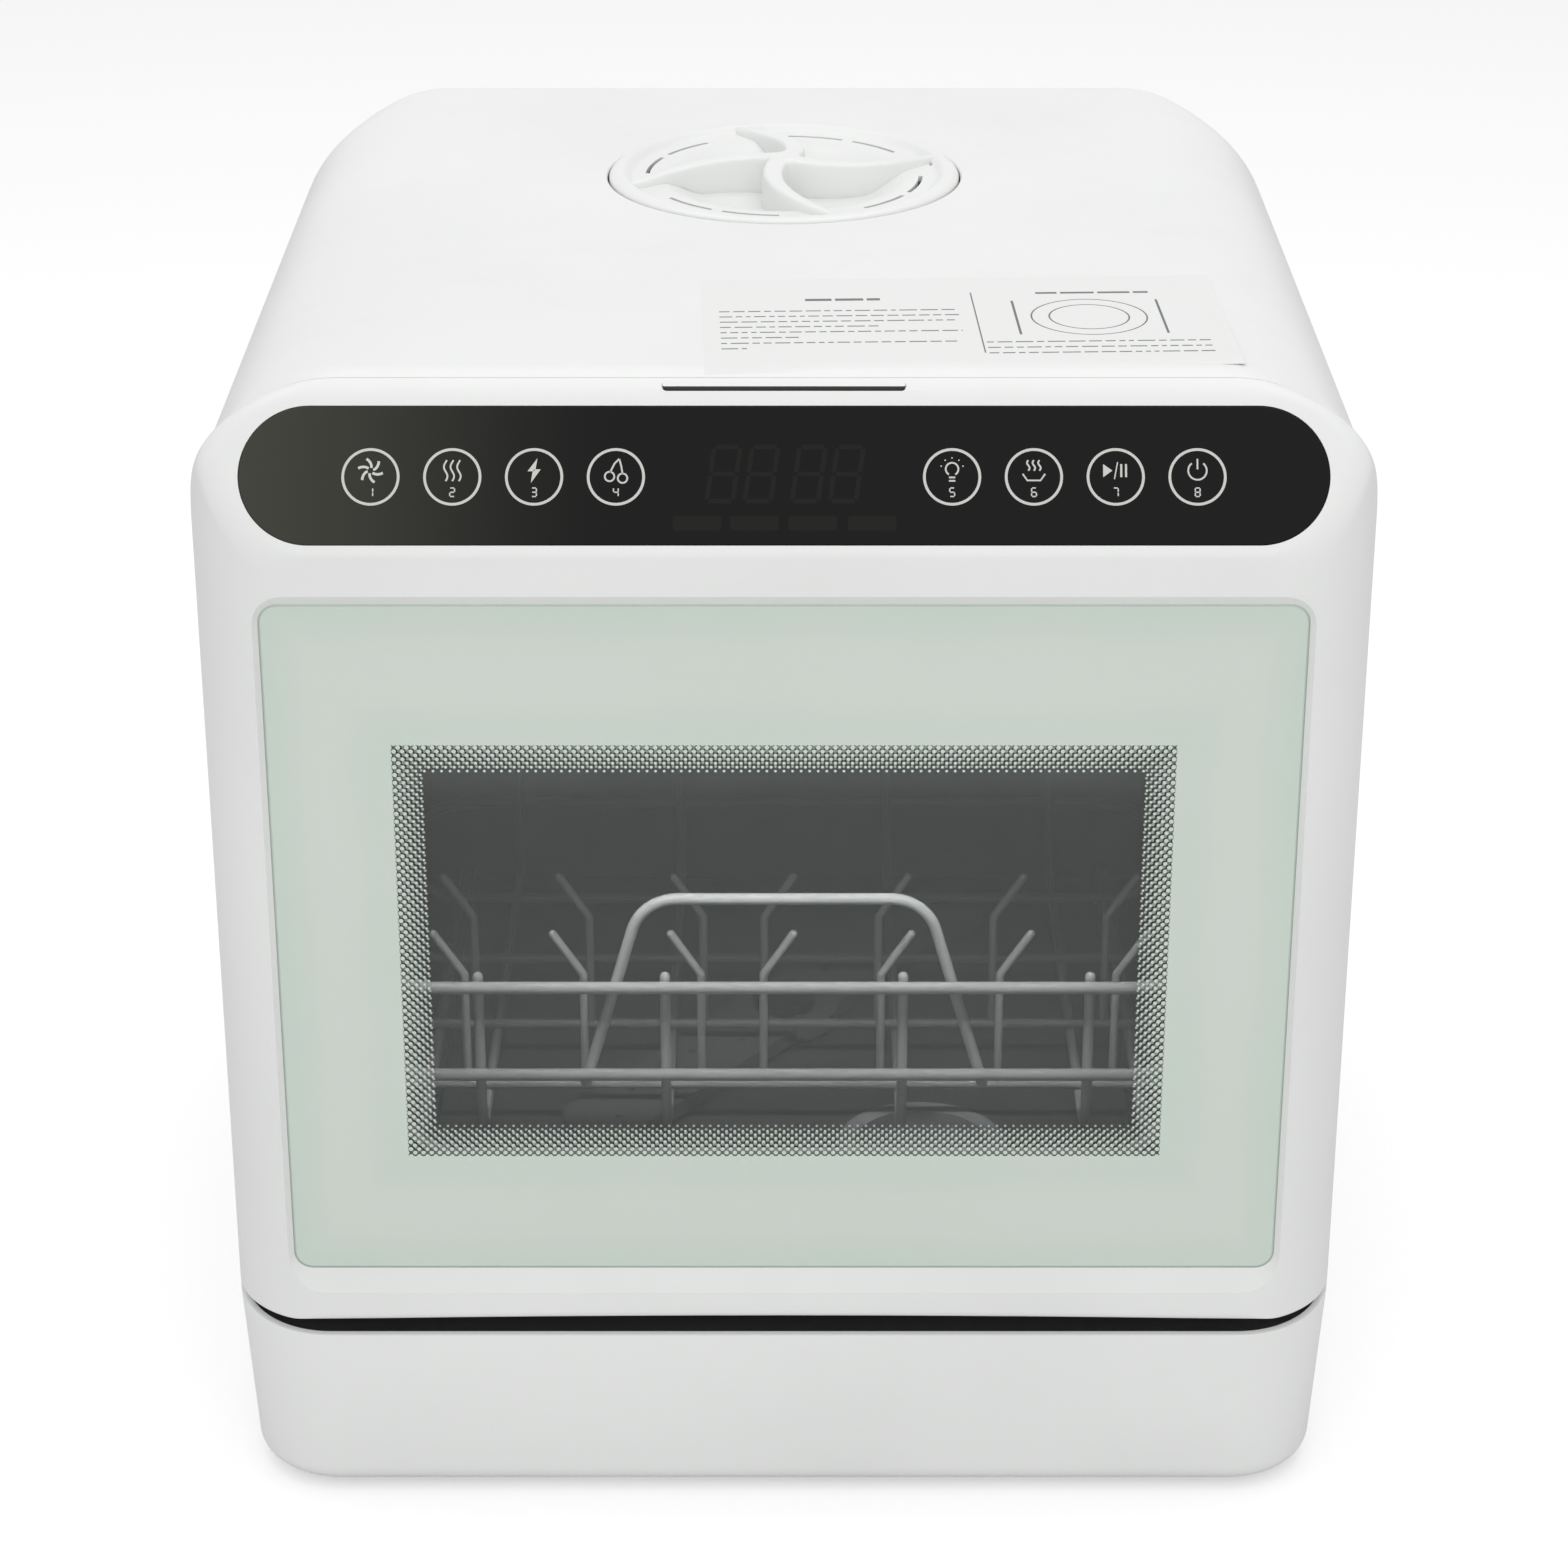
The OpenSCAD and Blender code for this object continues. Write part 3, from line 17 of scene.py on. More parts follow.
import bmesh
import bpy
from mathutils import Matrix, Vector

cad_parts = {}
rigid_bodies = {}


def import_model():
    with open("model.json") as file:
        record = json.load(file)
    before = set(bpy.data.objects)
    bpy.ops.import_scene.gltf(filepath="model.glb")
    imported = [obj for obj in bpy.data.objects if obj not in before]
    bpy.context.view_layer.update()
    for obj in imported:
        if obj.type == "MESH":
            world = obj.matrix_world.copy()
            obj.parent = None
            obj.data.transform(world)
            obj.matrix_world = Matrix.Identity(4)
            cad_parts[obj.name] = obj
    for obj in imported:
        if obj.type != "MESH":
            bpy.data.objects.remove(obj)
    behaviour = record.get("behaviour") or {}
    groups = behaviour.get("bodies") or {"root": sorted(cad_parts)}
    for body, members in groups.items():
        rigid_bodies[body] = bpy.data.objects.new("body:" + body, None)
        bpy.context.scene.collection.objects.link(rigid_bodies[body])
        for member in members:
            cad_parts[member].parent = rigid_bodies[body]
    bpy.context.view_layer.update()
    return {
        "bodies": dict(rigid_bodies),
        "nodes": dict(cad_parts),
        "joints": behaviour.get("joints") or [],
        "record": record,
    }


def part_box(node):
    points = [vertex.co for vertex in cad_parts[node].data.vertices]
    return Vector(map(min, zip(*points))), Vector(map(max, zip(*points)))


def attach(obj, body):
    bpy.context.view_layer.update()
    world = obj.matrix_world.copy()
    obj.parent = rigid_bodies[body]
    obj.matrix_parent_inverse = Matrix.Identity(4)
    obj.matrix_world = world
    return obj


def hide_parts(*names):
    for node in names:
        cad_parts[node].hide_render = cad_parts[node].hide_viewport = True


log = logging.getLogger("dishwasher")

MM = 0.001
WELD = 0.001 * MM
Pair = tuple[float, float]
Colour = tuple[float, float, float]
Ring = list[Vector]


class Material(str, Enum):
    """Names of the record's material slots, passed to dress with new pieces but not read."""

    SHELL = "white_shell"
    GLASS = "mint_glass"
    LENS = "black_lens"


# --------------------------------------------------------------------------------------
# Shader maths
# --------------------------------------------------------------------------------------


class Net:
    """The node tree of one material or world, emptied and ready to be filled."""

    def __init__(self, name: str, world: bool = False) -> None:
        """Makes the material or the world.

        Args:
            name: Its name.
            world: Whether it is a world.
        """
        self.owner = (bpy.data.worlds if world else bpy.data.materials).new(name)
        self.owner.use_nodes = True
        self.tree = self.owner.node_tree
        self.tree.nodes.clear()
        kind = "ShaderNodeOutputWorld" if world else "ShaderNodeOutputMaterial"
        self.output = self.tree.nodes.new(kind)

    def node(self, kind: str, settings: dict | None = None, sockets: dict | None = None,
             out: int | str = 0) -> Value:
        """Makes one node.

        Args:
            kind: The node's type.
            settings: Properties of the node, set first. A ramp's stops are [(place, colour)].
            sockets: Values or links of the node's inputs, by index or name.
            out: The output that is returned.

        Returns:
            The chosen output, wrapped.
        """
        made = self.tree.nodes.new(kind)
        for key, value in (settings or {}).items():
            if key == "stops":
                ramp = made.color_ramp.elements
                while len(ramp) < len(value):
                    ramp.new(1.0)
                for stop, (place, colour) in zip(ramp, value):
                    stop.position = place
                    stop.color = (*colour, 1.0)
            else:
                setattr(made, key, value)
        for key, value in (sockets or {}).items():
            if isinstance(value, Value):
                self.tree.links.new(value.socket, made.inputs[key])
            else:
                made.inputs[key].default_value = value
        return Value(self, made.outputs[out])

    def place(self) -> Value:
        """Returns the point of the surface in the object's own space, in metres."""
        return self.node("ShaderNodeTexCoord", out="Object")

    def axes(self) -> tuple[Value, Value, Value]:
        """Splits the point of the surface.

        Returns:
            Its three coordinates.
        """
        split = self.node("ShaderNodeSeparateXYZ", sockets={0: self.place()})
        outputs = split.socket.node.outputs
        return tuple(Value(self, outputs[i]) for i in range(3))

    def noise(self, scale: float, detail: float = 2.0, rough: float = 0.5,
              stretch: Sequence[float] = (1.0, 1.0, 1.0)) -> Value:
        """Makes a noise map.

        Args:
            scale: Cells per metre.
            detail: Octaves.
            rough: Share of the finer octaves.
            stretch: Factors on the three axes.

        Returns:
            The noise, about 0 to 1.
        """
        mapped = self.node("ShaderNodeMapping", sockets={"Vector": self.place(), "Scale": stretch})
        return self.node("ShaderNodeTexNoise", sockets={
            "Vector": mapped, "Scale": scale, "Detail": detail, "Roughness": rough})

    def mix(self, share: Value | float, first: Value | Sequence[float],
            second: Value | Sequence[float]) -> Value:
        """Mixes two colours.

        Args:
            share: Weight of the second colour.
            first: A colour or its link.
            second: A colour or its link.

        Returns:
            The mixed colour.
        """
        def full(colour: Value | Sequence[float]) -> Value | tuple[float, ...]:
            """Gives a plain colour its fourth number."""
            return colour if isinstance(colour, Value) else (*colour, 1.0)[:4]
        return self.node("ShaderNodeMix", {"data_type": "RGBA"},
                         {0: share, 6: full(first), 7: full(second)}, out=2)

    def surface(self, bump: Value | None = None, bump_depth: float = 0.0,
                **sockets: Value | float | Sequence[float]) -> bpy.types.Material:
        """Ends the tree in a Principled shader.

        Args:
            bump: A height map, or None.
            bump_depth: Height of the map's full range, in metres.
            sockets: Inputs of the shader, with _ for a space in their names.

        Returns:
            The finished material.
        """
        values = {key.replace("_", " "): value for key, value in sockets.items()}
        if bump is not None:
            values["Normal"] = self.node("ShaderNodeBump", sockets={
                "Height": bump, "Distance": bump_depth, "Strength": 1.0}, out="Normal")
        for key, value in values.items():
            if isinstance(value, (tuple, list)) and len(value) == 3:
                values[key] = (*value, 1.0)
        return self.end(self.node("ShaderNodeBsdfPrincipled", sockets=values))

    def end(self, shader: Value) -> bpy.types.Material | bpy.types.World:
        """Links a shader to the output and returns the finished material or world."""
        self.tree.links.new(shader.socket, self.output.inputs["Surface"])
        return self.owner


class Value:
    """A socket that takes part in Python expressions."""

    def __init__(self, net: Net, socket: bpy.types.NodeSocket) -> None:
        """Wraps a socket of a net."""
        self.net = net
        self.socket = socket

    def _math(self, operation: str, *values: Value | float) -> Value:
        """Adds one Math node for an operation on values."""
        return self.net.node("ShaderNodeMath", {"operation": operation}, dict(enumerate(values)))

    def __add__(self, other: Value | float) -> Value:
        """Returns the sum."""
        return self._math("ADD", self, other)

    __radd__ = __add__

    def __sub__(self, other: Value | float) -> Value:
        """Returns the difference."""
        return self._math("SUBTRACT", self, other)

    def __rsub__(self, other: Value | float) -> Value:
        """Returns other minus this."""
        return self._math("SUBTRACT", other, self)

    def __mul__(self, other: Value | float) -> Value:
        """Returns the product."""
        return self._math("MULTIPLY", self, other)

    __rmul__ = __mul__

    def __truediv__(self, other: Value | float) -> Value:
        """Returns the quotient."""
        return self._math("DIVIDE", self, other)

    def __abs__(self) -> Value:
        """Returns the size without its sign."""
        return self._math("ABSOLUTE", self)

    def __lt__(self, other: Value | float) -> Value:
        """Returns 1 where this is below other."""
        return self._math("LESS_THAN", self, other)

    def low(self, other: Value | float) -> Value:
        """Returns the lower of two values."""
        return self._math("MINIMUM", self, other)

    def high(self, other: Value | float) -> Value:
        """Returns the higher of two values."""
        return self._math("MAXIMUM", self, other)

    def floor(self) -> Value:
        """Returns the whole number below."""
        return self._math("FLOOR", self)

    def root(self) -> Value:
        """Returns the square root."""
        return self._math("SQRT", self)

    def ease(self, start: float, end: float) -> Value:
        """Returns a smooth step from 0 at start to 1 at end."""
        return self.net.node("ShaderNodeMapRange", {"interpolation_type": "SMOOTHSTEP"},
                             {0: self, 1: start, 2: end, 3: 0.0, 4: 1.0})


# --------------------------------------------------------------------------------------
# Finishes
# --------------------------------------------------------------------------------------


@dataclass(frozen=True)
class MouldedPlastic:
    """Injection-moulded plastic: a fine orange peel, faint flow clouds and soft handling marks."""

    name: str
    colour: Colour
    roughness: float = 0.34
    peel: float = 6e-6
    cloud: float = 0.03
    rubbed: float = 0.10
    grain: float = 900.0

    def make(self) -> bpy.types.Material:
        """Makes the material.

        Returns:
            The finished material.
        """
        net = Net(self.name)
        cloud = net.noise(scale=9.0, detail=3.0)
        rub = net.noise(scale=60.0, detail=4.0, rough=0.65)
        dark = tuple(c * (1.0 - self.cloud) for c in self.colour)
        return net.surface(
            bump=net.noise(scale=self.grain, detail=1.0), bump_depth=self.peel,
            Base_Color=net.mix(cloud.ease(0.35, 0.7), self.colour, dark),
            Roughness=self.roughness + self.rubbed * rub.ease(0.45, 0.75),
        )


@dataclass(frozen=True)
class Metal:
    """Plated or stainless steel with a drawn grain."""

    name: str
    colour: Colour = (0.62, 0.62, 0.63)
    shaded: float = 0.85
    roughness: float = 0.3
    spread: float = 0.15
    groove: float = 4e-6
    grain: tuple[float, float, float] = (1.0, 12.0, 1.0)

    def make(self) -> bpy.types.Material:
        """Makes the material.

        Returns:
            The finished material.
        """
        net = Net(self.name)
        lines = net.noise(scale=400.0, rough=0.6, stretch=self.grain)
        return net.surface(
            bump=lines, bump_depth=self.groove, Metallic=1.0,
            Base_Color=net.mix(lines, self.colour, tuple(self.shaded * c for c in self.colour)),
            Roughness=self.roughness + self.spread * lines,
        )


@dataclass(frozen=True)
class Rubber:
    """Soft dark rubber with a dusty bloom."""

    name: str
    colour: Colour
    pale_gain: float = 1.35
    pale_lift: float = 0.01
    roughness: float = 0.62
    spread: float = 0.2
    texture: float = 2e-5

    def make(self) -> bpy.types.Material:
        """Makes the material.

        Returns:
            The finished material.
        """
        net = Net(self.name)
        bloom = net.noise(scale=180.0, detail=4.0, rough=0.6)
        pale = tuple(min(1.0, self.pale_gain * c + self.pale_lift) for c in self.colour)
        return net.surface(
            bump=bloom, bump_depth=self.texture,
            Base_Color=net.mix(bloom.ease(0.4, 0.8), self.colour, pale),
            Roughness=self.roughness + self.spread * bloom,
        )


@dataclass(frozen=True)
class CoatedWire:
    """Steel wire dipped in grey nylon: glossy, slightly wavy, with painted shade towards the back.
    """

    name: str = "coated_wire"
    colour: Colour = (0.50, 0.52, 0.51)
    shade_colour: Colour = (0.10, 0.104, 0.102)
    shade_start: float = -160.0 * MM
    shade_end: float = -45.0 * MM
    roughness: float = 0.28
    spread: float = 0.1
    ripple: float = 6e-5

    def make(self) -> bpy.types.Material:
        """Makes the material.

        Returns:
            The finished material.
        """
        net = Net(self.name)
        # painted shade: the wire's colour darkens towards the back of the basket, where it lies in
        # the chamber's shade
        rear_shade = net.axes()[1].ease(self.shade_start, self.shade_end)
        return net.surface(
            bump=net.noise(scale=120.0), bump_depth=self.ripple,
            Base_Color=net.mix(rear_shade, self.colour, self.shade_colour),
            Roughness=self.roughness + self.spread * net.noise(scale=500.0),
            Coat_Weight=0.4, Coat_Roughness=0.15,
        )


@dataclass(frozen=True)
class PrintedGlass:
    """Tempered glass printed mint on its back, with a halftone of dots round a clear window.

    The print turns greener towards the glass's rim and round the window. A dot's radius is a
    share of the pitch: big at the outer edge of the band of dots, small at its inner edge.
    """

    half_width: float
    low: float
    high: float
    window_half: float = 139.75 * MM
    window_low: float = 148.0 * MM
    window_high: float = 315.0 * MM
    band: float = 11.0 * MM
    pitch: float = 3.05 * MM
    big_dot: float = 0.285
    small_dot: float = 0.15
    mint: Colour = (0.655, 0.705, 0.65)
    green: Colour = (0.585, 0.68, 0.61)
    rim_fade: Pair = (2.0 * MM, 20.0 * MM)
    window_fade: Pair = (4.0 * MM, 22.0 * MM)
    window_green: float = 0.75
    cloud: float = 0.25
    line: Colour = (0.008, 0.008, 0.008)
    line_share: float = 0.8
    tint: Colour = (0.115, 0.126, 0.122)
    haze: float = 0.228

    def _inside(self, x: Value, z: Value) -> Value:
        """Measures how far a point lies inside the printed window's edge.

        Args:
            x: The point's place across the glass.
            z: Its height.

        Returns:
            The distance, below 0 outside.
        """
        middle = (self.window_low + self.window_high) / 2
        half = (self.window_high - self.window_low) / 2
        return (self.window_half - abs(x)).low(half - abs(z - middle))

    def _dots(self, x: Value, z: Value, shift: float) -> Value:
        """Draws the dots of one of the two staggered grids.

        Args:
            x: The point's place across the glass.
            z: Its height.
            shift: How many cells the grid is moved, both ways.

        Returns:
            1 on the dots, 0 between them.
        """
        u = x / self.pitch + shift
        v = z / self.pitch + shift
        centre_u = u.floor() + 0.5
        centre_v = v.floor() + 0.5
        side = u - centre_u
        rise = v - centre_v
        reach = (side * side + rise * rise).root()
        depth = self._inside((centre_u - shift) * self.pitch, (centre_v - shift) * self.pitch)
        radius = self.big_dot + (self.small_dot - self.big_dot) * (depth / self.band)
        return (reach < radius) * (depth < self.band)

    def make(self) -> bpy.types.Material:
        """Makes the material.

        Returns:
            The finished material.
        """
        net = Net("printed_glass")
        x, _, z = net.axes()
        inside = self._inside(x, z)
        printed = (inside < 0.0).high(self._dots(x, z, 0.0)).high(self._dots(x, z, 0.5))
        rim = (self.half_width - abs(x)).low((z - self.low).low(self.high - z))
        near_rim = 1.0 - rim.ease(*self.rim_fade)
        near_window = 1.0 - abs(inside).ease(*self.window_fade)
        cloud = net.noise(scale=14.0).ease(0.3, 0.75)
        edge = near_rim.high(near_window * self.window_green)
        mint = net.mix(edge * (1.0 - self.cloud) + self.cloud * cloud, self.mint, self.green)
        between = net.mix(inside.ease(0.0, self.line_share * self.band), self.line, self.tint)
        return net.surface(
            Base_Color=net.mix(printed, between, mint),
            Alpha=self.haze + (1.0 - self.haze) * printed,
            Roughness=0.16 + 0.3 * printed, Coat_Weight=1.0, Coat_Roughness=0.03, IOR=1.5,
        )


@dataclass(frozen=True)
class ClearGlass:
    """A clear pane, seen by its reflections."""

    name: str
    tint: Colour = (0.05, 0.055, 0.053)
    haze: float = 0.12
    smeared: float = 0.04

    def make(self) -> bpy.types.Material:
        """Makes the material.

        Returns:
            The finished material.
        """
        net = Net(self.name)
        smear = net.noise(scale=25.0, detail=3.0).ease(0.45, 0.8)
        return net.surface(Base_Color=self.tint, Alpha=self.haze + self.smeared * smear,
                           Roughness=0.05, Coat_Weight=0.3, Coat_Roughness=0.02)


@dataclass(frozen=True)
class GlossBlack:
    """The black acrylic of the lens, with a painted reflection that makes it a little greyer to the
    left.
    """

    name: str = "gloss_black"
    left: Colour = (0.050, 0.050, 0.040)
    right: Colour = (0.002, 0.002, 0.002)
    reflection_start: float = -215.0 * MM
    reflection_end: float = -55.0 * MM
    roughness: float = 0.08
    smeared: float = 0.10

    def make(self) -> bpy.types.Material:
        """Makes the material.

        Returns:
            The finished material.
        """
        net = Net(self.name)
        smear = net.noise(scale=18.0, detail=4.0, rough=0.6, stretch=(1.0, 3.0, 3.0))
        # painted reflection: the base colour is greyer to the left, where the studio's light shows
        # in the black
        across = net.axes()[0].ease(self.reflection_start, self.reflection_end)
        return net.surface(
            Base_Color=net.mix(across, self.left, self.right),
            Roughness=self.roughness + self.smeared * smear.ease(0.4, 0.8), IOR=1.28,
        )


@dataclass(frozen=True)
class Ink:
    """Printing ink with a trace of the screen that it was printed through."""

    name: str
    colour: Colour
    roughness: float = 0.5
    gloss: float = 1.45
    faded: float = 0.93
    spread: float = 0.1

    def make(self) -> bpy.types.Material:
        """Makes the material.

        Returns:
            The finished material.
        """
        net = Net(self.name)
        screen = net.noise(scale=2500.0, detail=1.0)
        faded = tuple(self.faded * c for c in self.colour)
        return net.surface(Base_Color=net.mix(screen, self.colour, faded),
                           Roughness=self.roughness + self.spread * screen, IOR=self.gloss)


# --------------------------------------------------------------------------------------
# Mesh making
# --------------------------------------------------------------------------------------


def outline(left: float, right: float, low: float, high: float, radii: Sequence[float],
            steps: int = 10, straight: int = 1) -> list[Pair]:
    """Draws a rectangle with round corners, anticlockwise from the low right corner.

    Args:
        left: Lowest first coordinate.
        right: Highest first coordinate.
        low: Lowest second coordinate.
        high: Highest second coordinate.
        radii: Corner radii: low right, high right, high left, low left.
        steps: Points on each corner's arc, less one.
        straight: Pieces that each side is cut into.

    Returns:
        The points, as many for any sizes.
    """
    corners = ((right, low, -1, 1), (right, high, -1, -1), (left, high, 1, -1), (left, low, 1, 1))
    arcs = []
    for turn, ((a, b, sa, sb), radius) in enumerate(zip(corners, radii)):
        centre = (a + sa * radius, b + sb * radius)
        start = math.radians(-90 + 90 * turn)
        arcs.append([
            (centre[0] + radius * math.cos(start + math.pi / 2 * i / steps),
             centre[1] + radius * math.sin(start + math.pi / 2 * i / steps))
            for i in range(steps + 1)
        ])
    points = []
    for arc, following in zip(arcs, arcs[1:] + arcs[:1]):
        points += arc
        for i in range(1, straight):
            share = i / straight
            points.append((arc[-1][0] + share * (following[0][0] - arc[-1][0]),
                           arc[-1][1] + share * (following[0][1] - arc[-1][1])))
    return points


def circle(radius: float, steps: int = 64, centre: Pair = (0.0, 0.0)) -> list[Pair]:
    """Returns the points of a circle, anticlockwise."""
    return [(centre[0] + radius * math.cos(math.tau * i / steps),
             centre[1] + radius * math.sin(math.tau * i / steps)) for i in range(steps)]


def ribbon(line: Sequence[Pair], width: float, closed: bool = False) -> list[list[Pair]]:
    """Gives a line a width.

    Args:
        line: Points of the line.
        width: Width of the stroke.
        closed: Whether the line's ends meet.

    Returns:
        Quadrilaterals that lie side by side along the line.
    """
    count = len(line)
    sides = []
    for i, here in enumerate(line):
        before = line[(i - 1) % count] if closed or i else here
        after = line[(i + 1) % count] if closed or i < count - 1 else here
        along = Vector((after[0] - before[0], after[1] - before[1])).normalized()
        across = Vector((-along.y, along.x)) * width / 2
        sides.append(((here[0] + across.x, here[1] + across.y),
                      (here[0] - across.x, here[1] - across.y)))
    pairs = list(zip(sides, sides[1:] + sides[:1]))
    return [[a[1], b[1], b[0], a[0]] for a, b in (pairs if closed else pairs[:-1])]


class Shape:
    """A mesh while it is being made."""

    def __init__(self) -> None:
        """Starts with nothing."""
        self.points: list[Vector] = []
        self.faces: list[list[int]] = []

    def ring(self, points: Iterable[Sequence[float]]) -> list[int]:
        """Adds points.

        Args:
            points: The points.

        Returns:
            Their numbers.
        """
        start = len(self.points)
        self.points += [Vector(p) for p in points]
        return list(range(start, len(self.points)))

    def bridge(self, first: Sequence[int], second: Sequence[int]) -> None:
        """Joins two rings with quadrilaterals.

        Args:
            first: Numbers of one ring's points.
            second: Numbers of the other's, as many.
        """
        count = len(first)
        for i in range(count):
            following = (i + 1) % count
            self.faces.append([first[i], first[following], second[following], second[i]])

    def loft(self, rings: Sequence[Iterable[Sequence[float]]]) -> Shape:
        """Adds a closed skin through rings.

        Args:
            rings: Rings of as many points each. A face closes the first and the last.

        Returns:
            This shape.
        """
        numbers = [self.ring(r) for r in rings]
        for first, second in zip(numbers, numbers[1:]):
            self.bridge(first, second)
        self.faces += [numbers[0][::-1], numbers[-1]]
        return self

    def slab(self, points: Sequence[Pair], to_space: Callable[[float, float, float], Vector],
             low: float, high: float) -> Shape:
        """Adds a flat drawing with a thickness.

        Args:
            points: The drawing's outline.
            to_space: Turns two drawing coordinates and a height into a point.
            low: Lower height.
            high: Upper height.

        Returns:
            This shape.
        """
        return self.loft([[to_space(a, b, low) for a, b in points],
                          [to_space(a, b, high) for a, b in points]])

    def object(self, name: str, smooth: float = 30.0) -> bpy.types.Object:
        """Makes the object.

        Args:
            name: The piece's name.
            smooth: Edges that turn more than this many degrees stay sharp.

        Returns:
            The object, linked to the scene.
        """
        mesh = bpy.data.meshes.new(name)
        mesh.from_pydata([tuple(p) for p in self.points], [], self.faces)
        made = bpy.data.objects.new(name, mesh)
        bpy.context.scene.collection.objects.link(made)
        tidy(made, smooth)
        return made


def tidy(piece: bpy.types.Object, smooth: float = 30.0) -> None:
    """Welds a mesh, turns its faces outwards and shades it smooth between sharp edges.

    Args:
        piece: The piece.
        smooth: Edges that turn more than this many degrees stay sharp.
    """
    build = bmesh.new()
    build.from_mesh(piece.data)
    bmesh.ops.remove_doubles(build, verts=build.verts, dist=WELD)
    bmesh.ops.recalc_face_normals(build, faces=build.faces)
    build.to_mesh(piece.data)
    build.free()
    piece.data.shade_smooth()
    piece.data.set_sharp_from_angle(angle=math.radians(smooth))


def apply(piece: bpy.types.Object) -> None:
    """Turns a piece's modifiers into mesh.

    Args:
        piece: The piece.
    """
    bpy.context.view_layer.update()
    graph = bpy.context.evaluated_depsgraph_get()
    mesh = bpy.data.meshes.new_from_object(piece.evaluated_get(graph))
    piece.modifiers.clear()
    piece.data = mesh


def carve(piece: bpy.types.Object, cutters: Sequence[bpy.types.Object],
          smooth: float = 30.0) -> None:
    """Takes solids out of a piece.

    Args:
        piece: The piece.
        cutters: The solids, which are removed.
        smooth: Edges that turn more than this many degrees stay sharp.
    """
    for cutter in cutters:
        cut = piece.modifiers.new("cut", "BOOLEAN")
        cut.operation = "DIFFERENCE"
        cut.solver = "EXACT"
        cut.object = cutter
    apply(piece)
    for cutter in cutters:
        bpy.data.objects.remove(cutter)
    tidy(piece, smooth)


def dress(piece: bpy.types.Object, material: bpy.types.Material, body: str,
          slot: Material | None = None, *nodes: str) -> bpy.types.Object:
    """Gives a piece its material, its body and the nodes that it stands for.

    Args:
        piece: The piece.
        material: Its material.
        body: The body that it rides on.
        slot: Not used.
        nodes: CAD nodes that it replaces.

    Returns:
        The piece.
    """
    piece.data.materials.clear()
    piece.data.materials.append(material)
    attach(piece, body)
    if nodes:
        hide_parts(*nodes)
    log.info("%s rides on %s", piece.name, body)
    return piece


def blend(first: float, second: float, share: float) -> float:
    """Steps smoothly from one value to another.

    Args:
        first: The value at share 0 and below.
        second: The value at share 1 and above.
        share: How far the step has come.

    Returns:
        The value between them.
    """
    t = min(1.0, max(0.0, share))
    t = t * t * (3.0 - 2.0 * t)
    return first + (second - first) * t


# --------------------------------------------------------------------------------------
# The body's common form
# --------------------------------------------------------------------------------------


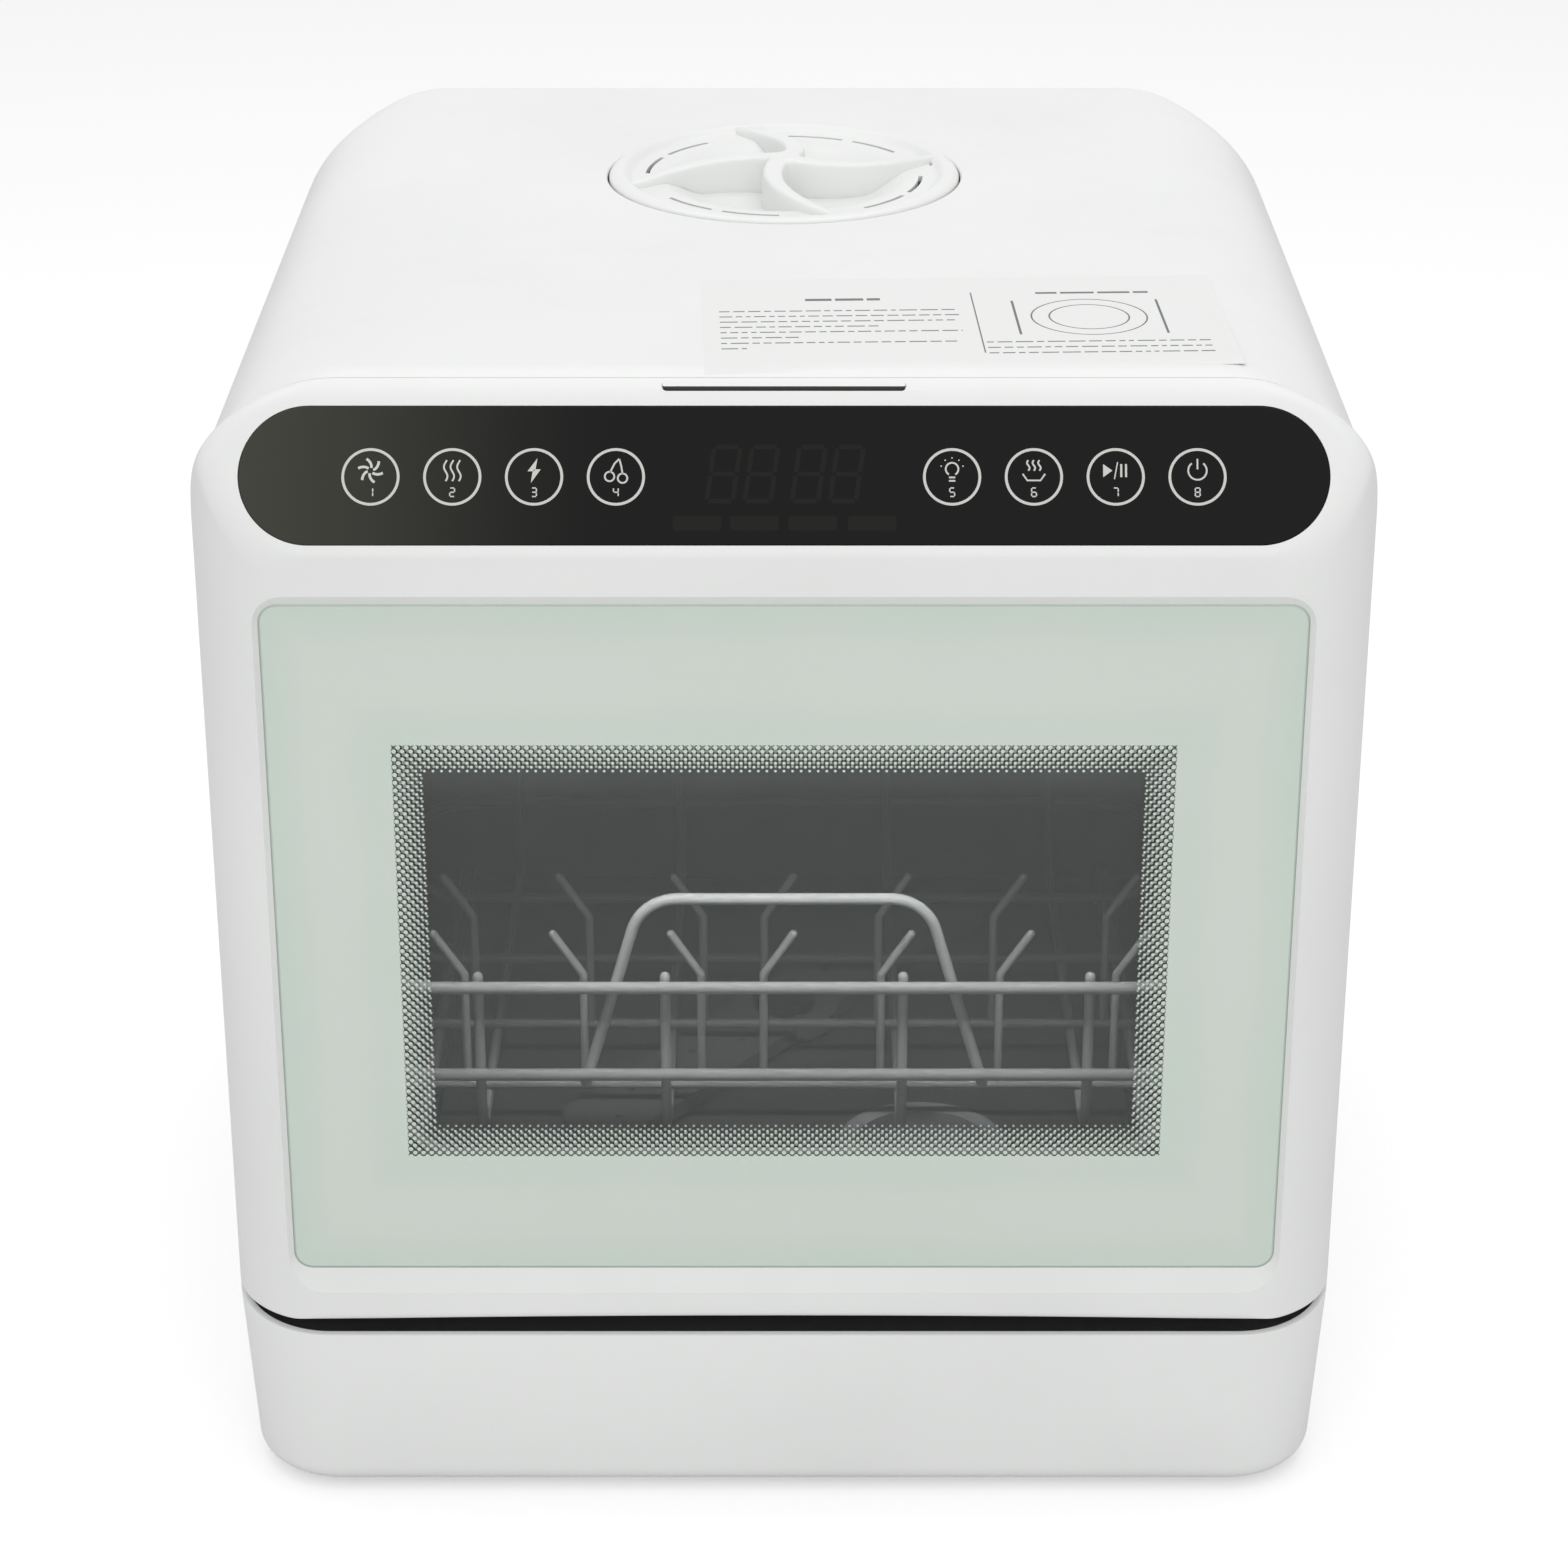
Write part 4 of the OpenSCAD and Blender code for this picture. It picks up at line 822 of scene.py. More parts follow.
@dataclass
class Form:
    """Outer form of door and cabinet: how wide, high and round the body is at each depth."""

    front: float
    half: float
    height: float
    depth: float
    top_edge_r: float = 57.0 * MM
    front_corner_r: float = 38.0 * MM
    back_corner_r: float = 46.0 * MM
    back_edge_r: float = 10.0 * MM
    back_round: float = 30.0 * MM
    crease_drop: float = 56.0 * MM
    crease_r: float = 4.0 * MM
    brow_tilt: float = math.radians(30.0)
    brow_r: float = 20.0 * MM
    brow_end_r: float = 9.0 * MM
    round_start: float = 16.0 * MM
    round_end: float = 38.0 * MM
    arch_reach: float = 0.8

    @property
    def crease(self) -> float:
        """Height of the edge between the upright front and the tilted brow."""
        return self.height - self.crease_drop

    @property
    def brow_axis(self) -> Pair:
        """Axis of the arc between the brow and the top.

        Returns:
            Its depth and height.
        """
        height = self.height - self.brow_r
        rise = height - self.crease
        return (rise * math.sin(self.brow_tilt) + self.brow_r) / math.cos(self.brow_tilt), height

    def half_at(self, depth: float) -> float:
        """Finds the half width of the body.

        Args:
            depth: Depth of the place.

        Returns:
            The half width there.
        """
        if depth < self.front_corner_r:
            inset = self.front_corner_r - depth
            return self.half - self.front_corner_r + math.sqrt(self.front_corner_r**2 - inset**2)
        if depth > self.depth - self.back_corner_r:
            inset = min(depth - self.depth + self.back_corner_r, self.back_corner_r)
            return self.half - self.back_corner_r + math.sqrt(self.back_corner_r**2 - inset**2)
        return self.half

    def top_at(self, depth: float) -> float:
        """Finds the height of the middle of the top.

        Args:
            depth: Depth of the place.

        Returns:
            The height there.
        """
        axis_depth, axis_height = self.brow_axis
        start = self.crease_r * math.tan(self.brow_tilt / 2)
        if depth < self.crease_r * (1 - math.cos(self.brow_tilt)):
            turn = math.acos(1 - depth / self.crease_r)
            return self.crease - start + self.crease_r * math.sin(turn)
        if depth < axis_depth - self.brow_r * math.cos(self.brow_tilt):
            return self.crease + depth / math.tan(self.brow_tilt)
        if depth < axis_depth:
            return axis_height + math.sqrt(self.brow_r**2 - (axis_depth - depth) ** 2)
        if depth > self.depth - self.back_edge_r:
            inset = min(depth - self.depth + self.back_edge_r, self.back_edge_r)
            return self.height - self.back_edge_r + math.sqrt(self.back_edge_r**2 - inset**2)
        return self.height

    def round_at(self, depth: float) -> float:
        """Finds the radius between top and side.

        Args:
            depth: Depth of the place.

        Returns:
            The radius there.
        """
        share = (depth - self.round_start) / (self.round_end - self.round_start)
        round_front = blend(self.brow_end_r, self.top_edge_r, share)
        back = (depth - self.depth + self.back_corner_r) / self.back_corner_r
        return round_front + (self.back_round - self.top_edge_r) * max(0.0, back) ** 3

    def section(self, depth: float, low: float, low_r: float, arch: float = 0.0,
                inset: float = 0.0) -> Ring:
        """Makes the ring of the body at a depth.

        Args:
            depth: Depth of the ring.
            low: Height of its lowest edge.
            low_r: Radius of its two lower corners.
            arch: Rise of the middle of its lowest edge.
            inset: How far the ring lies inside the outer skin.

        Returns:
            The ring's points.
        """
        half = self.half_at(depth) - inset
        top = self.top_at(depth) - inset
        corner = self.round_at(depth) - inset
        radii = (low_r, corner, corner, low_r)
        flat = outline(-half, half, low, top, radii, steps=16, straight=12)
        points = []
        for x, z in flat:
            reach = max(0.0, 1 - (x / (self.arch_reach * self.half)) ** 2)
            lift = arch * reach if z < low + low_r else 0.0
            points.append(Vector((x, self.front + depth, z + lift)))
        return points

    def brow(self, x: float, rise: float, out: float) -> Vector:
        """Returns a point of the tilted brow.

        Args:
            x: Distance from the middle, to the right.
            rise: Distance from the crease, up along the brow.
            out: Distance outwards from the brow's plane.

        Returns:
            The point in the frame.
        """
        sine, cosine = math.sin(self.brow_tilt), math.cos(self.brow_tilt)
        return Vector((x, self.front + rise * sine - out * cosine,
                       self.crease + rise * cosine + out * sine))


def corner_depths(radius: float, end: float, steps: int) -> list[float]:
    """Returns depths from 0 to end at even turns of a corner of that radius."""
    last = math.acos(max(-1.0, 1 - end / radius))
    return [radius * (1 - math.cos(last * i / steps)) for i in range(steps + 1)]


# --------------------------------------------------------------------------------------
# Sub-assemblies
# --------------------------------------------------------------------------------------


@dataclass
class Door:
    """The drop-down door: white frame with its recess, front glass and tilted brow."""

    form: Form
    low: float
    thick: float
    glass: tuple[Vector, Vector]
    hinge_z: float
    shell: bpy.types.Material
    wall: float = 3.0 * MM
    arch: float = 1.5 * MM
    low_r: float = 1.2 * MM
    edge_r: float = 4.0 * MM
    glass_r: float = 7.0 * MM
    bevel_side: float = 4.4 * MM
    bevel_low: float = 7.9 * MM
    bevel_high: float = 4.8 * MM
    bevel_r: float = 6.0 * MM
    chamfer: float = 0.9 * MM
    rim: float = 3.0 * MM
    pad: float = 2.5 * MM
    pad_r: float = 12.0 * MM
    ledge: float = 7.0 * MM
    ledge_r: float = 3.0 * MM
    slack: float = 0.05 * MM
    over: float = 5.0 * MM
    lens_side: float = 5.1 * MM
    slot: Pair = (42.6 * MM, 29.7 * MM)
    slot_width: float = 2.6 * MM
    slot_rise: float = 25.0 * MM
    slot_gap: float = 1.4 * MM
    bar_side: float = 0.25 * MM
    bar_back: float = 0.04 * MM
    bar_rise: float = 20.0 * MM
    shade_facing: float = -0.7
    bracket_side: float = 160.0 * MM
    bracket_half: float = 2.8 * MM
    bracket_start: float = 3.6 * MM
    bracket_long: float = 40.0 * MM
    bracket_r: float = 0.5 * MM
    bracket_low: float = 8.0 * MM
    bracket_high: float = 4.0 * MM

    def _slot(self, side: float, front: float, back: float, low: float) -> Shape:
        """Makes a slab along the release slot, up past the top.

        Args:
            side: How much shorter than the slot it is at each end.
            front: How far it stays behind the slot's front edge.
            back: How far it stays before the slot's back edge.
            low: Its lowest height over the crease.

        Returns:
            The slab.
        """
        half, start = self.slot
        width = self.slot_width - front - back
        wide_r, tight_r = 0.6 * width, 0.2 * width
        drawing = outline(side - half, half - side, start + front, start + front + width,
                          (wide_r, tight_r, tight_r, wide_r), steps=6)
        return Shape().slab(drawing, lambda x, p, z: Vector((x, self.form.front + p, z)),
                            self.form.crease + low, self.form.height + MM)

    def _bar(self) -> bpy.types.Object:
        """Builds the release bar, which fills the slot up to a dark line along its front.

        Returns:
            The piece.
        """
        slab = self._slot(self.bar_side, self.slot_gap, self.bar_back, self.bar_rise)
        bar = slab.object("release_bar_cap")
        above = self._skin(0.0, 0.0, self.thick).object("above")
        common = bar.modifiers.new("common", "BOOLEAN")
        common.operation = "INTERSECT"
        common.solver = "EXACT"
        common.object = above
        apply(bar)
        bpy.data.objects.remove(above)
        tidy(bar)
        return bar

    def _low_at(self, depth: float) -> float:
        """Returns the height of the lower edge, rounded at the front."""
        inset = max(0.0, self.edge_r - depth)
        return self.low + self.edge_r - math.sqrt(self.edge_r**2 - inset**2)

    def _skin(self, inset: float, start: float, end: float) -> Shape:
        """Makes the door's block, or the hollow in it.

        Args:
            inset: How far it lies inside the outer skin.
            start: Depth of its front.
            end: Depth of its back.

        Returns:
            The block.
        """
        depths = [d for d in corner_depths(self.form.front_corner_r, self.thick, 26) if d > start]
        rings = []
        for depth in [start, *depths[:-1], end]:
            low = self._low_at(depth) if inset == 0 else self.low + inset
            rings.append(self.form.section(depth, low, self.low_r, self.arch, inset))
        return Shape().loft(rings)

    def _glass_ring(self, depth: float, side: float, low: float, high: float,
                    radius: float) -> Ring:
        """Makes a ring along the glass's edge.

        Args:
            depth: Its depth.
            side: How far it grows at both sides.
            low: How far it grows downwards.
            high: How far it grows upwards.
            radius: Radius of its corners.

        Returns:
            The ring.
        """
        (left, _, bottom), (right, _, top) = self.glass
        flat = outline(left - side, right + side, bottom - low, top + high, [radius] * 4)
        return [Vector((x, self.form.front + depth, z)) for x, z in flat]

    def _recess(self) -> Shape:
        """Makes the cutter of the bevelled recess and the glass pocket.

        Returns:
            The cutter, not yet an object.
        """
        front = self.glass[0].y - self.form.front
        back = self.glass[1].y - self.form.front
        rings = []
        for share in (2.0, 1.0, 0.5, 0.0):
            radius = self.glass_r + self.bevel_r * share
            rings.append(self._glass_ring(front * (1 - share), self.bevel_side * share,
                                          self.bevel_low * share, self.bevel_high * share, radius))
        rings.append(self._glass_ring(back, self.slack, self.slack, self.slack, self.glass_r))
        return Shape().loft(rings)

    def _frame(self) -> bpy.types.Object:
        """Builds the white frame.

        Returns:
            The piece.
        """
        back = self.glass[1].y - self.form.front
        pad_end = back + self.pad
        margins = (self.bevel_side + self.rim, self.bevel_low + self.rim, self.bevel_low + self.rim)
        pad = Shape().loft([self._glass_ring(d, *margins, self.pad_r) for d in (MM, pad_end)])
        hollow = self._skin(self.wall, self.wall, self.thick + 2.0 * MM).object("hollow")
        carve(hollow, [pad.object("pad")])
        shrink = (-self.ledge,) * 3
        through = Shape().loft([self._glass_ring(d, *shrink, self.ledge_r)
                                for d in (back - MM, pad_end + self.over)])
        frame = self._skin(0.0, 0.0, self.thick).object("door_shell")
        carve(frame, [hollow, self._recess().object("recess"), through.object("through"),
                      self._slot(0.0, 0.0, 0.0, self.slot_rise).object("slot"),
                      self._bracket_room().object("notch"),
                      Brow(self.form, self.glass[1].x + self.lens_side).seat().object("seat")])
        return frame

    def _bracket_room(self) -> Shape:
        """Makes the cutters that leave room for the two hinge brackets.

        Returns:
            The cutters in one shape, not yet an object.
        """
        room = Shape()
        start = self.form.front + self.bracket_start
        for side in (-1, 1):
            x = side * self.bracket_side
            flat = outline(x - self.bracket_half, x + self.bracket_half, start,
                           start + self.bracket_long, [self.bracket_r] * 4, steps=3)
            room.slab(flat, lambda a, b, c: Vector((a, b, c)),
                      self.low - self.bracket_low, self.hinge_z + self.bracket_high)
        return room

    def _pane(self) -> bpy.types.Object:
        """Builds the front glass with a polished chamfer.

        Returns:
            The piece.
        """
        front = self.glass[0].y - self.form.front
        back = self.glass[1].y - self.form.front
        c = self.chamfer
        rings = [self._glass_ring(depth, -inset, -inset, -inset, self.glass_r - inset)
                 for depth, inset in ((front, c), (front + c, 0.0), (back - c / 2, 0.0),
                                      (back, c / 2))]
        return Shape().loft(rings).object("front_glass", 10.0)

    def build(self) -> None:
        """Builds and dresses the door's own pieces."""
        dress(self._frame(), self.shell, "door", Material.SHELL, "door_frame")
        bar = dress(self._bar(), self.shell, "release_bar", Material.SHELL, "release_bar")
        # painted shadow: the bar's front wall, which faces the slot's gap, is coloured near black
        # for the shadow in the slot
        shade = MouldedPlastic("slot_shade", (0.045, 0.045, 0.045), 0.6).make()
        bar.data.materials.append(shade)
        for face in bar.data.polygons:
            face.material_index = int(face.normal.y < self.shade_facing)
        (left, _, low), (right, _, high) = self.glass
        print_ = PrintedGlass((right - left) / 2, low, high)
        dress(self._pane(), print_.make(), "door", Material.GLASS, "door_glass")


@dataclass
class Brow:
    """The black lens on the tilted brow, with touch keys and display."""

    form: Form
    half: float
    height: float = 49.0 * MM
    middle: float = 28.3 * MM
    rise: float = 27.8 * MM
    thick: float = 2.0 * MM
    edge: float = 0.5 * MM
    key_first: float = 58.35 * MM
    key_pitch: float = 28.4 * MM
    keys: int = 4
    ring_r: float = 9.63 * MM
    stroke: float = 0.95 * MM
    icon_rise: float = 2.2 * MM
    number_drop: float = 5.4 * MM
    number_high: float = 3.0 * MM
    number_stroke: float = 0.44 * MM
    digits_at: tuple[float, ...] = (-21.0 * MM, -7.8 * MM, 8.6 * MM, 21.8 * MM)
    digit_rise: float = 1.0 * MM
    digit_wide: float = 9.0 * MM
    digit_high: float = 19.0 * MM
    digit_stroke: float = 1.6 * MM
    bars_at: tuple[float, ...] = (-30.2 * MM, -10.2 * MM, 10.0 * MM, 30.6 * MM)
    bar_half: float = 8.4 * MM
    bar_drop: Pair = (18.8 * MM, 13.8 * MM)
    bar_r: float = 1.0 * MM
    ink: float = 0.03 * MM

    def _stadium(self, grow: float, out: float) -> Ring:
        """Makes a ring of the lens, with half circles at its ends.

        Args:
            grow: How far it lies outside the lens's edge.
            out: Distance outwards from the brow's plane.

        Returns:
            The ring.
        """
        radius = self.height / 2 + grow
        not_quite = 0.9999 * radius
        flat = outline(-self.half - grow, self.half + grow, self.middle - radius,
                       self.middle + radius, [not_quite] * 4, steps=24, straight=8)
        return [self.form.brow(x, rise, out) for x, rise in flat]

    def seat(self) -> Shape:
        """Makes the cutter of the lens's seat."""
        gap = 0.15 * MM
        return Shape().loft([self._stadium(gap, -self.thick), self._stadium(gap, 4.0 * MM)])

    def _lens(self) -> bpy.types.Object:
        """Builds the lens with softly rounded edges.

        Returns:
            The piece.
        """
        rings = [self._stadium(0.0, -self.thick)]
        for turn in range(5):
            angle = math.pi / 2 * turn / 4
            rings.append(self._stadium(-self.edge * (1 - math.cos(angle)),
                                       -self.edge * (1 - math.sin(angle))))
        return Shape().loft(rings).object("lens", 40.0)

    def _print(self, name: str, drawings: Iterable[Sequence[Pair]]) -> bpy.types.Object:
        """Prints flat drawings on the lens.

        Args:
            name: The print's name.
            drawings: Closed outlines, across and up along the brow.

        Returns:
            The print.
        """
        shape = Shape()
        for drawing in drawings:
            shape.slab(drawing, self.form.brow, 0.0, self.ink)
        return shape.object(name)

    def _keys(self) -> list[list[Pair]]:
        """Draws the rings, pictograms and numbers of the eight touch keys.

        Returns:
            Closed outlines on the brow.
        """
        places = [self.key_first + self.key_pitch * i for i in range(self.keys)]
        centres = [-x for x in reversed(places)] + places
        drawings = []
        for number, (x, icon) in enumerate(zip(centres, Icon.row()), start=1):
            drawings += ribbon(circle(self.ring_r, 72, (x, self.rise)), self.stroke, closed=True)
            for part in icon:
                drawings.append([(x + a, self.rise + self.icon_rise + b) for a, b in part])
            drawings += digit(number, (x, self.rise - self.number_drop), self.number_high,
                              self.number_stroke)
        return drawings

    def _display(self) -> list[list[Pair]]:
        """Draws the unlit segments and the four indicator bars.

        Returns:
            Closed outlines on the brow.
        """
        drawings = []
        for x in self.digits_at:
            drawings += segments((x, self.rise + self.digit_rise), self.digit_wide,
                                 self.digit_high, self.digit_stroke)
        low, high = (self.rise - drop for drop in self.bar_drop)
        for x in self.bars_at:
            drawings.append(outline(x - self.bar_half, x + self.bar_half, low, high,
                                    [self.bar_r] * 4, steps=5))
        return drawings

    def build(self) -> None:
        """Builds and dresses the lens and its prints."""
        dress(self._lens(), GlossBlack().make(), "door", Material.LENS, "control_lens")
        light = Ink("key_ink", (0.62, 0.64, 0.60)).make()
        faint = Ink("display_ink", (0.0075, 0.0075, 0.0065), 0.1, 1.28).make()
        dress(self._print("key_print", self._keys()), light, "door", Material.LENS)
        dress(self._print("display_print", self._display()), faint, "door", Material.LENS)


class Icon:
    """Plain pictograms for the keys, each a list of closed outlines about the origin."""

    size = 4.6 * MM
    line = 0.6 * MM

    @classmethod
    def row(cls) -> list[list[list[Pair]]]:
        """Returns the eight pictograms from left to right."""
        return [cls.fan(), cls.steam(), cls.bolt(), cls.berries(), cls.bulb(), cls.plate(),
                cls.start(), cls.power()]

    @classmethod
    def fan(cls) -> list[list[Pair]]:
        """Draws six curved blades.

        Returns:
            Closed outlines about the origin.
        """
        blades = []
        for turn in range(6):
            start = math.tau * turn / 6
            polar = [(r * cls.size, start + 0.9 * r) for r in (0.22, 0.4, 0.6, 0.8, 0.95)]
            line = [(radius * math.cos(a), radius * math.sin(a)) for radius, a in polar]
            blades += ribbon(line, 1.5 * cls.line)
        return blades

    @classmethod
    def steam(cls) -> list[list[Pair]]:
        """Draws three rising waves.

        Returns:
            Closed outlines about the origin.
        """
        waves = []
        for side in (-1, 0, 1):
            line = [(side * 0.5 * cls.size + 0.14 * cls.size * math.sin(2.2 * math.pi * t),
                     (2 * t - 1) * 0.8 * cls.size) for t in (i / 12 for i in range(13))]
            waves += ribbon(line, cls.line)
        return waves

    @classmethod
    def bolt(cls) -> list[list[Pair]]:
        """Draws a lightning bolt in two halves.

        Returns:
            Closed outlines about the origin.
        """
        s = cls.size
        upper = ((0.25, 0.95), (-0.5, -0.05), (0.0, -0.05), (0.12, 0.15))
        lower = ((-0.25, -0.95), (0.5, 0.1), (0.0, 0.1), (-0.12, -0.1))
        return [[(s * x, s * y) for x, y in half] for half in (upper, lower)]

    @classmethod
    def berries(cls) -> list[list[Pair]]:
        """Draws two round fruits on stalks.

        Returns:
            Closed outlines about the origin.
        """
        s = cls.size
        drawing = []
        for stalk in (((-0.45, -0.15), (-0.1, 0.55), (0.25, 0.9)),
                      ((0.5, -0.25), (0.4, 0.35), (0.25, 0.9))):
            drawing += ribbon([(s * x, s * y) for x, y in stalk], cls.line)
        for x, y in ((-0.48, -0.45), (0.5, -0.58)):
            drawing += ribbon(circle(0.36 * s, 24, (s * x, s * y)), cls.line, closed=True)
        return drawing

    @classmethod
    def bulb(cls) -> list[list[Pair]]:
        """Draws a lamp bulb over its cap, with rays round it.

        Returns:
            Closed outlines about the origin.
        """
        s = cls.size
        arc = [(0.48 * s * math.cos(a), 0.12 * s + 0.48 * s * math.sin(a))
               for a in (math.radians(-60 + 300 * i / 24) for i in range(25))]
        drawing = ribbon(arc, cls.line)
        for low in (-0.52, -0.78):
            drawing += ribbon([(-0.24 * s, low * s), (0.24 * s, low * s)], cls.line)
        for turn in range(5):
            a = math.radians(15 + 37.5 * turn)
            centre = (0.85 * s * math.cos(a), 0.12 * s + 0.85 * s * math.sin(a))
            drawing.append(circle(0.45 * cls.line, 8, centre))
        return drawing

    @classmethod
    def plate(cls) -> list[list[Pair]]:
        """Draws a plate on edge under three waves.

        Returns:
            Closed outlines about the origin.
        """
        s = cls.size
        drawing = ribbon([(-0.85 * s, -0.25 * s), (-0.5 * s, -0.75 * s), (0.5 * s, -0.75 * s),
                          (0.85 * s, -0.25 * s)], cls.line)
        for side in (-1, 0, 1):
            line = [(side * 0.42 * s + 0.1 * s * math.sin(2 * math.pi * t), 0.8 * t * s)
                    for t in (i / 8 for i in range(9))]
            drawing += ribbon(line, cls.line)
        return drawing

    @classmethod
    def start(cls) -> list[list[Pair]]:
        """Draws a triangle, a stroke and two bars.

        Returns:
            Closed outlines about the origin.
        """
        s = cls.size
        drawing = [[(-0.95 * s, -0.5 * s), (-0.25 * s, 0.0), (-0.95 * s, 0.5 * s)]]
        drawing += ribbon([(-0.1 * s, -0.65 * s), (0.15 * s, 0.65 * s)], 0.7 * cls.line)
        for x in (0.42, 0.78):
            drawing += ribbon([(x * s, -0.5 * s), (x * s, 0.5 * s)], 1.2 * cls.line)
        return drawing

    @classmethod
    def power(cls) -> list[list[Pair]]:
        """Draws the on-off sign.

        Returns:
            Closed outlines about the origin.
        """
        s = cls.size
        arc = [(0.7 * s * math.sin(a), 0.7 * s * math.cos(a))
               for a in (math.radians(38 + 284 * i / 28) for i in range(29))]
        return ribbon(arc, cls.line) + ribbon([(0.0, 0.1 * s), (0.0, 0.9 * s)], cls.line)


def segments(centre: Pair, width: float, height: float, stroke: float,
             lit: str = "abcdefg", slant: float = 0.14) -> list[list[Pair]]:
    """Draws a seven-segment digit.

    Args:
        centre: Middle of the digit.
        width: Its width.
        height: Its height.
        stroke: Width of a segment.
        lit: Letters of the segments that are drawn.
        slant: Shift to the right over the height, as a share of it.

    Returns:
        One outline for each segment.
    """
    x, y, g = width / 2, height / 2, 0.35 * stroke
    ends = {"a": ((-x + g, y), (x - g, y)), "b": ((x, y - g), (x, g)), "c": ((x, -g), (x, -y + g)),
            "d": ((-x + g, -y), (x - g, -y)), "e": ((-x, -g), (-x, -y + g)),
            "f": ((-x, y - g), (-x, g)), "g": ((-x + g, 0.0), (x - g, 0.0))}
    bars = []
    for name in lit:
        bars += ribbon(ends[name], stroke)
    return [[(centre[0] + a + slant * b, centre[1] + b) for a, b in bar] for bar in bars]


def digit(number: int, centre: Pair, height: float, stroke: float) -> list[list[Pair]]:
    """Draws a plain number.

    Args:
        number: From 0 to 9.
        centre: Its middle.
        height: Its height.
        stroke: Width of its strokes.

    Returns:
        One outline for each stroke.
    """
    lit = ("abcdef", "bc", "abged", "abgcd", "fgbc", "afgcd", "afgedc", "abc", "abcdefg", "abcdfg")
    return segments(centre, 0.55 * height, height, stroke, lit[number], slant=0.0)


@dataclass
class Cabinet:
    """The white wrap over top and sides, with its openings for the cap and the back panel."""

    form: Form
    low: float
    front: float
    cap_depth: float
    cap_hole: float
    panel_half: float
    panel_top: float
    shell: bpy.types.Material
    wall: float = 2.6 * MM
    low_r: float = 1.0 * MM
    panel_r: float = 4.0 * MM
    panel_seat: float = 12.0 * MM
    hole_seat: float = 8.0 * MM
    hole_edge: float = 0.5 * MM
    over: float = 5.0 * MM

    def _skin(self, inset: float, start: float, end: float, low: float) -> Shape:
        """Makes the wrap's block, or the hollow in it.

        Args:
            inset: How far it lies inside the outer skin.
            start: Depth of its front.
            end: Depth of its back.
            low: Height of its lowest edge.

        Returns:
            The block.
        """
        form = self.form
        brow_end = form.brow_axis[0]
        straight = form.depth - form.back_corner_r - brow_end
        front = corner_depths(form.front_corner_r, form.front_corner_r, 26)
        arc = [brow_end * t for t in (0.92, 0.96, 1.0)]
        sides = [brow_end + straight * t for t in (0.25, 0.5, 0.75, 1.0)]
        back = [form.depth - d for d in corner_depths(form.back_corner_r, form.back_corner_r, 22)]
        depths = sorted({round(d, 6) for d in [*front, *arc, *sides, *back] if start < d < end})
        return Shape().loft([form.section(d, low, self.low_r, 0.0, inset)
                             for d in [start, *depths, end]])

    def _wrap(self) -> bpy.types.Object:
        """Builds the wrap.

        Returns:
            The piece.
        """
        form = self.form
        hollow = self._skin(self.wall, self.front - self.over, form.depth - self.wall,
                            self.low - 4 * self.over)
        drawing = outline(-self.panel_half, self.panel_half, -2 * self.over, self.panel_top,
                          [self.panel_r] * 4, steps=5)
        back = Shape().slab(drawing, lambda x, z, p: Vector((x, form.front + form.depth + p, z)),
                            -self.panel_seat, self.over)
        at = form.front + self.cap_depth
        wide = self.cap_hole + self.hole_edge
        profile = ((self.cap_hole, -self.hole_seat), (self.cap_hole, -self.hole_edge),
                   (wide, 0.0), (wide, self.over))
        hole = Shape().loft([[Vector((x, at + y, form.height + z)) for x, y in circle(r, 128)]
                             for r, z in profile])
        wrap = self._skin(0.0, self.front, form.depth, self.low).object("wrap_shell")
        carve(wrap, [hollow.object("hollow"), back.object("back"), hole.object("hole")])
        return wrap

    def build(self) -> None:
        """Builds and dresses the wrap."""
        dress(self._wrap(), self.shell, "cabinet", Material.SHELL, "cabinet_wrap")


